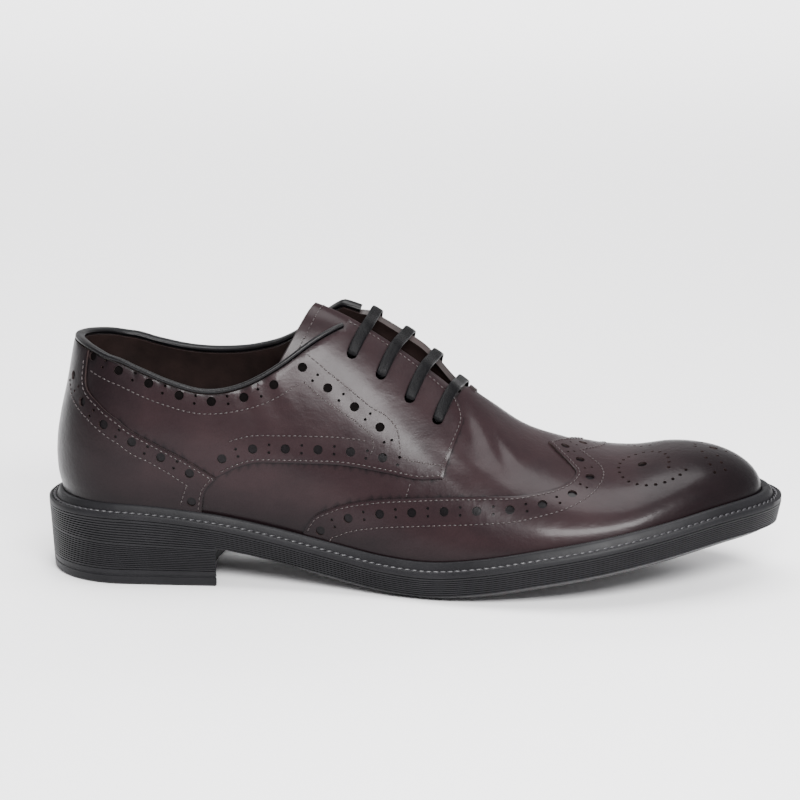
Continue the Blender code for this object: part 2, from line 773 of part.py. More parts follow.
def add_object(name, vertices, polygons, material, merge=0.0):
    """Make one closed, outward-facing object from points and faces."""
    mesh = bpy.data.meshes.new(name)
    work = bmesh.new()
    made = [work.verts.new(tuple(float(c) for c in v)) for v in vertices]
    for polygon in polygons:
        corners = []
        for i in polygon:
            if not corners or corners[-1] is not made[i]:
                corners.append(made[i])
        if len(set(corners)) > 2:
            work.faces.new(corners)
    if merge > 0:
        bmesh.ops.remove_doubles(work, verts=work.verts, dist=merge)
        bmesh.ops.dissolve_degenerate(work, edges=work.edges, dist=merge)
    loose = [v for v in work.verts if not v.link_faces]
    bmesh.ops.delete(work, geom=loose, context="VERTS")
    bmesh.ops.recalc_face_normals(work, faces=work.faces)
    work.to_mesh(mesh)
    work.free()
    piece = bpy.data.objects.new(name, mesh)
    bpy.context.scene.collection.objects.link(piece)
    mesh.materials.append(material)
    mesh.shade_smooth()
    mesh.set_sharp_from_angle(angle=SHARP_ANGLE)
    return piece


def loft(rings):
    """Faces between rings of equal length, closed by a ladder across the first and last."""
    count = len(rings[0])
    vertices = [point for one in rings for point in one]
    polygons = []
    for r in range(len(rings) - 1):
        low = r * count
        high = low + count
        for i in range(count):
            j = (i + 1) % count
            polygons.append((low + i, low + j, high + j, high + i))
    polygons.extend(ladder(0, count))
    polygons.extend(ladder((len(rings) - 1) * count, count))
    return vertices, polygons


def ladder(start, count):
    """Rungs across a ring that goes out along one side and back along the other."""
    half = count // 2
    rungs = []
    for i in range(half):
        quad = [start + i, start + i + 1, start + (count - i - 1) % count, start + (count - i) % count]
        clean = list(dict.fromkeys(quad))
        rungs.append(tuple(clean))
    return rungs


def build_outsole():
    """The sole: side with grooves, bevel and underside."""
    rows = []
    for share, groove in SOLE_GROOVES:
        def height(x, share=share):
            high = foot_height(x) - GAP
            return high + (side_foot(x) - high) * share
        rows.append(sole_ring(share * SIDE_HEIGHT, height, SIDE_GROOVE * groove))
    rows.append(sole_ring(SIDE_HEIGHT, tread_height, BEVEL_WIDTH))
    return loft(rows)


def heel_outline(depth, inset=0.0):
    """Plan of the heel: round the back, along both flanks and across the hollow breast."""
    back = BACK_SLOPE * depth + inset
    flank = FLANK_SLOPE * depth + inset
    sides = []
    for side in (-1.0, 1.0):
        run = [("heel", a) for a in np.linspace(0, math.pi / 2, 2 * HEEL_STEPS + 1)]
        run += [("flank", x) for x in np.linspace(HEEL_X, HEEL_LENGTH - inset, HEEL_FLANK_STEPS + 1)[1:]]
        sides.append([plan_point(s, side, back, flank, 0.0) for s in run])
    outer, inner = sides
    start, end = outer[-1], inner[-1]
    breast = []
    for t in np.linspace(0, 1, BREAST_STEPS + 1)[1:-1]:
        bow = BREAST_HOLLOW * 4 * t * (1 - t)
        breast.append((start[0] - bow, start[1] + (end[1] - start[1]) * t))
    return outer + breast + inner[:0:-1]


def placed(outline, height):
    return [(x - MIDDLE_X, y, float(height(x))) for x, y in outline]


def build_heel_stack():
    """The block between the sole and the top lift, with grooves round its side."""
    rows = []
    for share, groove in HEEL_GROOVES:
        def height(x, share=share):
            high = seat_height(x) - GAP
            return high + (LIFT_THICKNESS + GAP - high) * share
        depth = SIDE_HEIGHT + share * (edge_height(0.0) - SIDE_HEIGHT - LIFT_THICKNESS)
        rows.append(placed(heel_outline(depth, SIDE_GROOVE * groove), height))
    return tube(rows)


def build_top_lift():
    """The layer of the heel that meets the floor."""
    full = edge_height(0.0)
    top = placed(heel_outline(full - LIFT_THICKNESS), lambda x: LIFT_THICKNESS)
    low = placed(heel_outline(full), lambda x: LIFT_CHAMFER)
    foot = placed(heel_outline(full, LIFT_CHAMFER), lambda x: 0.0)
    return tube([top, low, foot])


def upper_ring(up, offset):
    """A ring round the upper's foot, at a share of the way up and an offset from the form."""
    def points(side):
        found = []
        for number, station in enumerate(STATIONS):
            p = Pattern.station_p(station)
            q = side * (1 - up(p))
            found.append(tuple(on_form(p, q, offset(number, side))))
        return found
    return ring(points)


def rise_to(thickness):
    """The share of the way up at which the form is this far above its foot."""
    def up(p):
        section_x = max(p, HEEL_X)
        crown = float(form(section_x, 0.0)[2]) - float(form(section_x, 1.0)[2])
        return min(NEAR_CROWN, math.asin(min(1.0, thickness / max(crown, GAP))) * 2 / math.pi)
    return up


def build_insole():
    """The footbed, a close fit in the upper, with a little room at the toe."""
    def margin(number, side):
        kind, value = STATIONS[number]
        room = INSOLE_TOE_ROOM * math.sin(value) ** 8 if kind == "toe" else 0.0
        return -(WALL + GAP + room)

    low = upper_ring(lambda p: 0.0, margin)
    high = upper_ring(rise_to(INSOLE_THICKNESS), margin)
    flat = [(x, y, float(foot_height(x + MIDDLE_X)) + INSOLE_THICKNESS) for x, y, z in high]
    floor = [(x, y, float(foot_height(x + MIDDLE_X))) for x, y, z in low]
    return loft([floor, flat])


def build_welt(pattern):
    """The storm welt: a band round the sole's top edge that rises to a rib at the upper."""
    def offset(number, side):
        near = [max(0, number - 1), number, min(LAST_STATION, number + 1)]
        reach = [Pattern.station_p(STATIONS[n]) for n in near]
        layers = max(pattern.level((p, side * NEAR_FOOT)) for p in reach)
        return OVERLAY * layers + GAP

    foot = upper_ring(lambda p: 0.0, offset)
    high = upper_ring(rise_to(WELT_EDGE + WELT_RISE * WELT_PROFILE[-1][1]), offset)
    outer = sole_ring(0.0, lambda x: edge_height(x) - WELT_EDGE)
    foot = [(x, y, float(foot_height(x + MIDDLE_X))) for x, y, z in foot]
    rows = [foot, outer]
    for share, rise in WELT_PROFILE:
        row = []
        for (ax, ay, az), (bx, by, bz) in zip(outer, high):
            x = ax + (bx - ax) * share
            y = ay + (by - ay) * share
            row.append((x, y, float(edge_height(x + MIDDLE_X)) + WELT_RISE * rise))
        rows.append(row)
    count = len(foot)
    vertices = [point for row in rows for point in row]
    polygons = []
    for r in range(len(rows)):
        low = r * count
        high_row = (r + 1) % len(rows) * count
        polygons.extend((low + i, low + (i + 1) % count, high_row + (i + 1) % count, high_row + i)
                        for i in range(count))
    return vertices, polygons


def sheet(top, bottom):
    """A closed solid between two grids of the same shape."""
    rows, columns = len(top), len(top[0])
    vertices = [p for row in top for p in row] + [p for row in bottom for p in row]
    lower = rows * columns
    polygons = []
    for i in range(rows - 1):
        for j in range(columns - 1):
            a = i * columns + j
            quad = (a, a + 1, a + columns + 1, a + columns)
            polygons.append(quad)
            polygons.append(tuple(lower + k for k in reversed(quad)))
    border = [j for j in range(columns - 1)]
    border += [i * columns + columns - 1 for i in range(rows - 1)]
    border += [(rows - 1) * columns + j for j in range(columns - 1, 0, -1)]
    border += [i * columns for i in range(rows - 1, 0, -1)]
    for a, b in zip(border, border[1:] + border[:1]):
        polygons.append((b, a, lower + a, lower + b))
    return vertices, polygons


def tongue_way(p, across):
    """The way out through the tongue, which turns evenly from one side to the other."""
    outer = outward(p, -TONGUE_HALF)
    inner = outward(p, TONGUE_HALF)
    edge = outer if across < 0 else inner
    lean = float(outward(p, 0.0)[0]) * (1 - across ** 2) + float(edge[0]) * across ** 2
    first = math.atan2(outer[1], outer[2])
    last = math.atan2(inner[1], inner[2])
    turn = first + (last - first) * 0.5 * (1 + across)
    rest = math.sqrt(1 - lean ** 2)
    return np.array([lean, rest * math.sin(turn), rest * math.cos(turn)])


def build_tongue():
    """A curved sheet under the facings, from inside the vamp to its top above the collar."""
    depth = WALL + LACE_ROOM + TONGUE_ROOM
    top, bottom = [], []
    for ahead in np.linspace(0, 1, TONGUE_STEPS + 1):
        row_top, row_bottom = [], []
        for across in np.linspace(-1, 1, TONGUE_STEPS + 1):
            reach = float(curve(TONGUE_TOP, 0.5 + 0.5 * across))
            p = (TONGUE_FRONT + (reach - TONGUE_FRONT) * ahead) * SOLE_LENGTH
            q = TONGUE_HALF * across
            way = tongue_way(p, across)
            row_top.append(tuple(form(p, q) - way * depth))
            row_bottom.append(tuple(form(p, q) - way * (depth + TONGUE_THICKNESS)))
        top.append(row_top)
        bottom.append(row_bottom)
    return sheet(top, bottom)


def sweep(path, sizes, sides):
    """A closed cord along a path, with its own width, thickness and flat side at each point."""
    points = [np.array(p) for p in path]
    rings = []
    for i, point in enumerate(points):
        ahead = points[min(i + 1, len(points) - 1)] - points[max(i - 1, 0)]
        ahead = ahead / np.linalg.norm(ahead)
        side = sides[i] - ahead * ahead.dot(sides[i])
        side = side / np.linalg.norm(side)
        rings.append(section(point, side, np.cross(ahead, side), *sizes[i]))
    return tube(rings)


def section(centre, side, up, width, thickness):
    """Eight points round a flat cord or binding."""
    points = []
    for k in range(RING_SIDES):
        turn = 2 * math.pi * (k + 0.5) / RING_SIDES
        reach = side * width / 2 * round_square(math.cos(turn))
        points.append(tuple(centre + reach + up * thickness / 2 * round_square(math.sin(turn))))
    return points


def tube(rings):
    """A solid through rings of equal length, with flat ends."""
    count = len(rings[0])
    vertices = [p for one in rings for p in one]
    polygons = []
    for r in range(len(rings) - 1):
        low = r * count
        high = low + count
        polygons.extend((low + k, low + (k + 1) % count, high + (k + 1) % count, high + k)
                        for k in range(count))
    polygons.append(tuple(range(count)))
    polygons.append(tuple(range(len(vertices) - count, len(vertices))))
    return vertices, polygons


def round_square(value):
    return math.copysign(abs(value / math.cos(math.pi / RING_SIDES)) ** ROUND_POWER, value)


def along(p, q):
    """Unit vector that runs along the form at one height."""
    way = form(p + NORMAL_STEP, q) - form(p - NORMAL_STEP, q)
    return way / np.linalg.norm(way)


def build_lace():
    """One flat lace: four bars over the facings, joined by hidden runs under them."""
    outer = eyelet_places(-1.0)
    inner = eyelet_places(1.0)
    over = OVERLAY + GAP + LACE_THICKNESS
    under = -(WALL + LACE_ROOM / 2)
    flat = (LACE_WIDTH, LACE_THICKNESS)
    core = (LACE_CORE, LACE_CORE)
    run = (LACE_ROOM - 2.4 * GAP, LACE_CORE)
    depths = [0.8 * over, 0.3 * OVERLAY, -0.5 * WALL, -0.95 * WALL]
    path, sizes, sides = [], [], []

    def add(point, size, side):
        path.append(point)
        sizes.append(size)
        sides.append(side)

    def through(place, down, facing):
        for height in depths if down else depths[::-1]:
            add(on_form(*place, height), core, along(*place) * facing)

    def bar(start, end, facing):
        leave = [(start[0], start[1] * share) for share in BAR_BENDS]
        arrive = [(end[0], end[1] * share) for share in BAR_BENDS[::-1]]
        crown = on_form(0.5 * (start[0] + end[0]), 0.0, over)
        edges = on_form(*leave[-1], over) + on_form(*arrive[0], over)
        for place in leave:
            add(on_form(*place, over), flat, along(*place) * facing)
        add(0.25 * edges + 0.5 * crown, flat, along(start[0], 0.0) * facing)
        for place in arrive:
            add(on_form(*place, over), flat, along(*place) * facing)

    def hidden(start, end, facing):
        for share in HIDDEN_BENDS:
            place = (start[0] + (end[0] - start[0]) * share, start[1] + (end[1] - start[1]) * share)
            add(on_form(*place, under), run, outward(*place) * facing)

    facing = 1.0
    for behind in (END_LAST, END_FIRST):
        place = (outer[0][0] - behind, outer[0][1])
        add(on_form(*place, under), run, outward(*place) * -facing)
    for number in range(len(EYELETS)):
        start, end = (outer, inner) if number % 2 == 0 else (inner, outer)
        through(start[number], False, facing)
        bar(start[number], end[number], facing)
        through(end[number], True, facing)
        if number < len(EYELETS) - 1:
            hidden(end[number], end[number + 1], facing)
        facing = -facing
    for ahead in (END_FIRST, END_LAST):
        place = (outer[-1][0] + ahead, outer[-1][1])
        add(on_form(*place, under), run, outward(*place) * -facing)
    return sweep(path, sizes, sides)


def build_binding():
    """The padded binding along the collar, from facing to facing round the back."""
    line = collar(-1.0)[::-1] + collar(1.0)[1:]
    line = line[1:-1]
    rings = []
    middle = (2 * OVERLAY - WALL) / 2
    for number, place in enumerate(line):
        normal = outward(*place)
        here = on_form(*place, middle)
        before = on_form(*line[max(number - 1, 0)], middle)
        after = on_form(*line[min(number + 1, len(line) - 1)], middle)
        up = np.cross(normal, (after - before) / np.linalg.norm(after - before))
        up = up * (1.0 if up[2] > 0 else -1.0)
        centre = here + up * (GAP + BINDING_HEIGHT / 2)
        rings.append(section(centre, normal, up, BINDING_WIDTH, BINDING_HEIGHT))
    return tube(rings)


def material(name, color, roughness):
    made = bpy.data.materials.new(name)
    made.use_nodes = True
    shader = made.node_tree.nodes["Principled BSDF"]
    shader.inputs["Base Color"].default_value = color
    shader.inputs["Roughness"].default_value = roughness
    shader.inputs["Metallic"].default_value = 0.0
    return made


LEATHER = material("burgundy leather", (0.052, 0.016, 0.014, 1.0), 0.28)
RUBBER = material("black rubber", (0.012, 0.012, 0.013, 1.0), 0.55)
LINING = material("brown lining", (0.030, 0.014, 0.011, 1.0), 0.60)
WAXED_CORD = material("black waxed cord", (0.010, 0.010, 0.011, 1.0), 0.45)
BLACK_TRIM = material("black binding", (0.010, 0.009, 0.009, 1.0), 0.40)

add_object("outsole", *build_outsole(), RUBBER)
add_object("heel_stack", *build_heel_stack(), RUBBER)
add_object("heel_top_lift", *build_top_lift(), RUBBER)
add_object("welt", *build_welt(Pattern()), RUBBER)
add_object("insole", *build_insole(), LINING)
add_object("upper", *build_upper(), LEATHER, merge=2 * SNAP)
add_object("collar_binding", *build_binding(), BLACK_TRIM)
add_object("tongue", *build_tongue(), LEATHER)
add_object("lace", *build_lace(), WAXED_CORD)
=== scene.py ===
# %% [markdown]
# # A leather brogue in Blender
# The shoe is a right brogue that stands empty on its rubber sole. Its solids come in as a
# fixed frame, and this lesson dresses them: leather panels with punched holes, seams, laces,
# a storm welt and a ribbed sole. Everything is in metres, with the toe along +X, the outer
# side towards -Y and the floor at z = 0.

# %% Load the frame
import math

import bmesh
import bpy
import numpy as np
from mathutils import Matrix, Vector
from mathutils.geometry import delaunay_2d_cdt
from mathutils.kdtree import KDTree


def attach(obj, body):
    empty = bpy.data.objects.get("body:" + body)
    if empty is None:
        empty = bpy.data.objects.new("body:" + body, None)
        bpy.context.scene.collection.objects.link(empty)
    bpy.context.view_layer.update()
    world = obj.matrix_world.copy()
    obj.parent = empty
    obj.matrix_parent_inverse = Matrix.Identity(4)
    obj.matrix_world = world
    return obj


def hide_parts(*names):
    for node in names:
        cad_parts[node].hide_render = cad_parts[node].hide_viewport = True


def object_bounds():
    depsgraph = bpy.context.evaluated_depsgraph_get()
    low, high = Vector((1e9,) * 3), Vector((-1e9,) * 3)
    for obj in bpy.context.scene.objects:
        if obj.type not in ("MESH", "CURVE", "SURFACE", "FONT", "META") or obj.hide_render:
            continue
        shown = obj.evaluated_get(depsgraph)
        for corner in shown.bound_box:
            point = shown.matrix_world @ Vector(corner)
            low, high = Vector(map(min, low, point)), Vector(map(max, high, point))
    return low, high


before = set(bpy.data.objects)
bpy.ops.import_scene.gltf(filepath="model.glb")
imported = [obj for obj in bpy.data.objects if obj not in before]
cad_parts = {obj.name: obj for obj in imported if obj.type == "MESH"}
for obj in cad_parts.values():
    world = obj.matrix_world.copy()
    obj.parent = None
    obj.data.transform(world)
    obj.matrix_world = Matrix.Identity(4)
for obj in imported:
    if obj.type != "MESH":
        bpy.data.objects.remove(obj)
cad_box = [list(map(float, corner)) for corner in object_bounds()]
low, high = cad_box
length = high[0] - low[0]
print("frame loaded, length in mm:", round(length * 1000, 1))

# %% [markdown]
# ## Camera
# The view of the shoe is from its outer side, a little from above and from in front. A long
# lens keeps the sole's lines almost parallel, as a catalogue picture does. The picture is
# taken as 800 by 800, and the sensor's width is Blender's usual 36 mm.

# %% Camera
PICTURE_WIDTH = 800
SENSOR_WIDTH = 36.0
CAMERA_TURN = math.radians(5)
CAMERA_RISE = math.radians(14)
CAMERA_DISTANCE = 1.250
CAMERA_SCALE = 2462.0
CAMERA_TARGET = Vector((-0.0052, 0.0, 0.0710))


def add_camera():
    """A long lens that looks at the middle of the picture from the outer side."""
    away = Vector((math.sin(CAMERA_TURN) * math.cos(CAMERA_RISE),
                   -math.cos(CAMERA_TURN) * math.cos(CAMERA_RISE),
                   math.sin(CAMERA_RISE)))
    data = bpy.data.cameras.new("camera")
    data.sensor_width = SENSOR_WIDTH
    data.lens = CAMERA_SCALE * CAMERA_DISTANCE * SENSOR_WIDTH / PICTURE_WIDTH
    camera = bpy.data.objects.new("camera", data)
    camera.location = CAMERA_TARGET + away * CAMERA_DISTANCE
    camera.rotation_euler = (-away).to_track_quat("-Z", "Y").to_euler()
    bpy.context.scene.collection.objects.link(camera)
    bpy.context.scene.camera = camera
    return camera


camera = add_camera()
print("lens in mm:", round(camera.data.lens, 1))

# %% [markdown]
# ## Floor and light
# Polished leather shows its shape by what it reflects, so the lights are large and soft: one
# wide panel overhead, one to the left behind and one low in front that draws the long
# highlight on the vamp. A fourth one brightens the floor behind the shoe and is kept out of
# the leather's shine. The pale floor and a pale world fill the shadows.

# %% Floor and light
FLOOR_REACH = 6.0
FLOOR_COLOR = (0.95, 0.945, 0.955, 1.0)
WORLD_COLOR = (0.98, 0.972, 0.985, 1.0)
WORLD_STRENGTH = 0.78

# Columns: name, place, aimed at, width, depth, power, whether it shows in a shine
LIGHTS = [
    ("overhead panel", (0.05, 0.10, 1.10), (0.00, 0.00, 0.05), 1.10, 0.55, 19.0, True),
    ("front panel", (0.35, -1.00, 0.75), (0.03, 0.00, 0.05), 0.80, 0.30, 40.0, True),
    ("rear left panel", (-0.85, 0.55, 0.60), (-0.05, 0.00, 0.06), 0.70, 0.35, 2.0, True),
    ("backdrop panel", (0.00, 2.10, 1.30), (0.00, 2.20, 0.00), 3.20, 1.40, 115.0, False),
]


def add_floor():
    mesh = bpy.data.meshes.new("floor")
    r = FLOOR_REACH
    mesh.from_pydata([(-r, -r, 0), (r, -r, 0), (r, r, 0), (-r, r, 0)], [], [(0, 1, 2, 3)])
    floor = bpy.data.objects.new("floor", mesh)
    bpy.context.scene.collection.objects.link(floor)
    made = bpy.data.materials.new("pale paper")
    made.use_nodes = True
    shader = made.node_tree.nodes["Principled BSDF"]
    shader.inputs["Base Color"].default_value = FLOOR_COLOR
    shader.inputs["Roughness"].default_value = 0.7
    shader.inputs["Specular IOR Level"].default_value = 0.2
    mesh.materials.append(made)


def add_light(name, place, target, width, depth, power, shines):
    data = bpy.data.lights.new(name, "AREA")
    data.shape = "RECTANGLE"
    data.size = width
    data.size_y = depth
    data.energy = power
    light = bpy.data.objects.new(name, data)
    light.location = place
    light.rotation_euler = (Vector(target) - Vector(place)).to_track_quat("-Z", "Y").to_euler()
    light.visible_glossy = shines
    bpy.context.scene.collection.objects.link(light)


def add_world():
    world = bpy.data.worlds.new("pale room")
    world.use_nodes = True
    sky = world.node_tree.nodes["Background"]
    sky.inputs["Color"].default_value = WORLD_COLOR
    sky.inputs["Strength"].default_value = WORLD_STRENGTH
    bpy.context.scene.world = world


add_floor()
add_world()
for row in LIGHTS:
    add_light(*row)
print("lights:", len(LIGHTS))

# %% [markdown]
# ## The last
# A shoemaker works on a last, and so does this lesson. One function, `form`, gives the outer
# form of the upper from two numbers: p runs along the shoe and q goes from the outer side's
# foot (-1) over the crown (0) to the inner side's foot (1). Its tables are short, and each
# value is a share of the length, the ball's width or a height, so all the leather that is
# laid on the last follows its sizes.

# %% Driving sizes of the last and the sole
SOLE_LENGTH = length
BALL_WIDTH = 0.104
SIDE_HEIGHT = 0.0097
BEVEL_HEIGHT = 0.0021
BEVEL_WIDTH = 0.0050
TREAD_FLAT = 0.0004
HEEL_RISE = 0.0184
TOE_SPRING = 0.0233
BACK_SLOPE = 0.06
FLANK_SLOPE = 0.06
TOE_SLOPE = 0.16
HEEL_LENGTH = 0.0735
BREAST_HOLLOW = 0.0050
LIFT_THICKNESS = 0.0064
WELT_EDGE = 0.0020
WELT_RISE = 0.0036
WELT_AT_BACK = 0.0064
WELT_AT_TOE = 0.0084
BACK_HEIGHT = 0.0970
INSTEP_HEIGHT = 0.1110
WALL = 0.0022
OVERLAY = 0.0009
GAP = 0.0003
HEEL_CENTRE = 0.115
TOE_CENTRE = 0.72
TOE_POWER = 2.2
TOP_CENTRE = 0.85
TOP_POWER = 2.6
BULGE_TOP = 0.70
NORMAL_STEP = 0.0004
DOMAIN_HEIGHT = 0.060
SNAP = 1e-6
TINY = 1e-12

BACK_X = WELT_AT_BACK
TIP_X = SOLE_LENGTH - WELT_AT_TOE
HEEL_X = HEEL_CENTRE * SOLE_LENGTH
TOE_X = TOE_CENTRE * SOLE_LENGTH
MIDDLE_X = 0.5 * SOLE_LENGTH
print("ball width in mm:", round(BALL_WIDTH * 1000, 1))

# %% Tables of the last and the sole
# Plan of the sole. Columns: share of the length, outer and inner half width and
# sideways bend of the middle line, as shares of the ball width
PLAN = [
    (0.000, 0.322, 0.312, 0.000),
    (0.115, 0.338, 0.322, 0.000),
    (0.200, 0.336, 0.312, 0.000),
    (0.300, 0.334, 0.278, 0.000),
    (0.400, 0.360, 0.262, 0.000),
    (0.500, 0.424, 0.298, 0.000),
    (0.600, 0.486, 0.394, 0.000),
    (0.680, 0.509, 0.466, 0.004),
    (0.760, 0.500, 0.496, 0.012),
    (0.880, 0.440, 0.462, 0.030),
    (1.000, 0.345, 0.385, 0.045),
]

# Side line of the sole. Columns: share of the length, share of the heel's rise,
# share of the toe's spring, share of the bevel under the edge
LIFT = [
    (0.00, 0.960, 0.000, 0.0),
    (0.08, 1.000, 0.000, 0.0),
    (0.16, 0.945, 0.000, 0.0),
    (0.24, 0.790, 0.000, 0.0),
    (0.32, 0.540, 0.000, 0.5),
    (0.40, 0.253, 0.000, 1.0),
    (0.47, 0.050, 0.000, 1.0),
    (0.53, 0.000, 0.000, 1.0),
    (0.60, 0.000, 0.116, 1.0),
    (0.68, 0.000, 0.322, 1.0),
    (0.76, 0.000, 0.515, 1.0),
    (0.84, 0.000, 0.708, 1.0),
    (0.92, 0.000, 0.888, 1.0),
    (1.00, 0.000, 0.950, 1.0),
]

# Sections of the upper. Columns: share of the length; crown height as a share of
# the instep height; crown offset to the inner side as a share of the ball width;
# fullness and crown power, outer then inner side; side bulge, outer then inner,
# as shares of the ball width
SECTIONS = [
    (0.115, 1.135, 0.000, 2.40, 0.45, 2.40, 0.45, 0.019, 0.019),
    (0.200, 1.117, 0.000, 2.40, 0.45, 2.40, 0.45, 0.019, 0.024),
    (0.300, 1.090, 0.010, 2.30, 0.50, 2.30, 0.50, 0.014, 0.034),
    (0.413, 0.992, 0.030, 1.90, 0.56, 1.90, 0.56, 0.010, 0.038),
    (0.480, 0.880, 0.045, 1.80, 0.58, 1.90, 0.56, 0.005, 0.029),
    (0.540, 0.762, 0.055, 1.80, 0.58, 1.95, 0.55, 0.005, 0.019),
    (0.600, 0.630, 0.060, 1.90, 0.55, 2.00, 0.52, 0.005, 0.010),
    (0.650, 0.537, 0.065, 2.00, 0.52, 2.10, 0.50, 0.005, 0.005),
    (0.700, 0.486, 0.065, 2.10, 0.50, 2.20, 0.48, 0.005, 0.005),
    (0.750, 0.452, 0.060, 2.20, 0.48, 2.30, 0.47, 0.005, 0.005),
    (0.800, 0.447, 0.050, 2.25, 0.47, 2.35, 0.46, 0.005, 0.005),
    (0.850, 0.472, 0.035, 2.30, 0.47, 2.40, 0.46, 0.005, 0.005),
    (0.890, 0.478, 0.020, 2.40, 0.46, 2.40, 0.46, 0.005, 0.005),
    (1.000, 0.463, 0.000, 2.40, 0.46, 2.40, 0.46, 0.005, 0.005),
]

# Back curve. Columns: height and distance from the sole's back end, as shares of
# the back height
BACK_CURVE = [
    (0.28, 0.0880),
    (0.35, 0.0795),
    (0.41, 0.0635),
    (0.48, 0.0575),
    (0.57, 0.0615),
    (0.66, 0.0765),
    (0.80, 0.1085),
    (0.94, 0.1345),
    (1.01, 0.1485),
    (1.30, 0.1985),
]

# Width of the welt beside the upper. Columns: share of the length, share of the
# welt's width at the toe
WELT_SHELF = [
    (0.000, 0.80),
    (0.115, 0.70),
    (0.300, 0.66),
    (0.500, 0.73),
    (0.700, 0.87),
    (1.000, 0.98),
]
print("sections of the upper:", len(SECTIONS))

# %% The form of the last
def curve(table, at, column=1):
    """Read a table's column at a share of its first column, as a smooth curve."""
    keys = np.array([row[0] for row in table])
    values = np.array([row[column] for row in table])
    step = np.diff(keys)
    slope = np.diff(values) / step
    tangent = np.concatenate([
        slope[:1],
        (slope[:-1] * step[1:] + slope[1:] * step[:-1]) / (step[:-1] + step[1:]),
        slope[-1:],
    ])
    at = np.clip(np.asarray(at, float), keys[0], keys[-1])
    i = np.clip(np.searchsorted(keys, at, side="right") - 1, 0, len(keys) - 2)
    t = (at - keys[i]) / step[i]
    start = (1 + 2 * t) * (1 - t) ** 2 * values[i] + t * (1 - t) ** 2 * step[i] * tangent[i]
    end = t * t * (3 - 2 * t) * values[i + 1] + t * t * (t - 1) * step[i] * tangent[i + 1]
    return start + end


def edge_height(x):
    """Height of the sole's upper side edge above the floor."""
    share = x / SOLE_LENGTH
    forefoot = SIDE_HEIGHT + BEVEL_HEIGHT
    return forefoot + HEEL_RISE * curve(LIFT, share, 1) + TOE_SPRING * curve(LIFT, share, 2)


def foot_height(x):
    """Height at which the upper and the insole rest on the sole."""
    return edge_height(x) - WELT_EDGE


def seat_height(x):
    """Flat, slightly tilted joint between the sole and the heel."""
    back = edge_height(0.0) - SIDE_HEIGHT
    front = edge_height(HEEL_LENGTH) - SIDE_HEIGHT
    return back + (front - back) * x / HEEL_LENGTH


def side_foot(x):
    """Height of the lower edge of the sole's side."""
    return np.where(x < HEEL_LENGTH, seat_height(x), edge_height(x) - SIDE_HEIGHT)


def tread_height(x):
    """Height of the sole's underside, which is flat where it meets the floor."""
    bevel = (BEVEL_HEIGHT + TREAD_FLAT) * curve(LIFT, x / SOLE_LENGTH, 3)
    return np.maximum(side_foot(x) - bevel, 0.0)


def flank_width(x, side):
    """Half width of the sole's plan before its ends are rounded."""
    share = x / SOLE_LENGTH
    return np.where(side < 0, curve(PLAN, share, 1), curve(PLAN, share, 2)) * BALL_WIDTH


def middle_line(x):
    return curve(PLAN, x / SOLE_LENGTH, 3) * BALL_WIDTH


def form(p, q):
    """The outer form of the upper. p runs along it, q from -1 at the outer side's foot
    through 0 at the crown to 1 at the inner side's foot."""
    p = np.where(np.asarray(p, float) > TIP_X - SNAP, TIP_X, p)
    q = np.asarray(q, float)
    side = np.where(q < 0, -1.0, 1.0)
    rise_share = np.sin((1 - np.minimum(np.abs(q), 1)) * math.pi / 2)
    section_x = np.maximum(p, HEEL_X)
    share = section_x / SOLE_LENGTH
    turn = np.maximum(HEEL_X - p, 0) / (HEEL_X - BACK_X) * math.pi / 2
    foot_x = np.where(p < HEEL_X, HEEL_X - (HEEL_X - BACK_X) * np.sin(turn), section_x)
    foot = foot_height(foot_x)
    blunt = np.clip((section_x - TOP_CENTRE * SOLE_LENGTH) / (TIP_X - TOP_CENTRE * SOLE_LENGTH), 0, 1)
    crown = INSTEP_HEIGHT * curve(SECTIONS, share, 1) - foot
    z = foot + crown * (1 - blunt ** TOP_POWER) ** (1 / TOP_POWER) * rise_share
    close = np.clip((section_x - TOE_X) / (TIP_X - TOE_X), 0, 1)
    full = np.where(side < 0, curve(SECTIONS, share, 3), curve(SECTIONS, share, 5))
    power = np.where(side < 0, curve(SECTIONS, share, 4), curve(SECTIONS, share, 6))
    bulge = np.where(side < 0, curve(SECTIONS, share, 7), curve(SECTIONS, share, 8)) * BALL_WIDTH
    width = flank_width(section_x, side) - WELT_AT_TOE * curve(WELT_SHELF, share)
    width = width * (1 - close ** TOE_POWER) ** (1 / TOE_POWER)
    width = width + bulge * np.sin(math.pi * np.clip(rise_share / BULGE_TOP, 0, 1)) * (1 - close)
    width = width * np.maximum(1 - rise_share ** full, 0) ** power
    offset = curve(SECTIONS, share, 2) * BALL_WIDTH * rise_share ** 2 * (1 - close ** 2)
    y = (side * width + offset) * np.cos(turn) + middle_line(section_x)
    back = BACK_HEIGHT * curve(BACK_CURVE, z / BACK_HEIGHT)
    x = np.where(p < HEEL_X, HEEL_X - (HEEL_X - back) * np.sin(turn), section_x)
    return np.stack([x - MIDDLE_X, y, z], -1)


def unit(vectors):
    """The same vectors with a length of one."""
    return vectors / np.maximum(np.linalg.norm(vectors, axis=-1, keepdims=True), TINY)


def outward(p, q):
    """Unit normal of the form, pointing out of the shoe."""
    p = np.asarray(p, float)
    q = np.asarray(q, float)
    low = np.clip(q - NORMAL_STEP / DOMAIN_HEIGHT, -1, 1)
    high = np.clip(q + NORMAL_STEP / DOMAIN_HEIGHT, -1, 1)
    inside = np.minimum(p, TIP_X - NORMAL_STEP)
    along = form(inside + NORMAL_STEP, q) - form(inside - NORMAL_STEP, q)
    across = form(inside, high) - form(inside, low)
    normal = unit(np.cross(along, across))
    at_tip = (p > TIP_X - SNAP)[..., None]
    return np.where(at_tip, np.array([1.0, 0.0, 0.0]), normal)


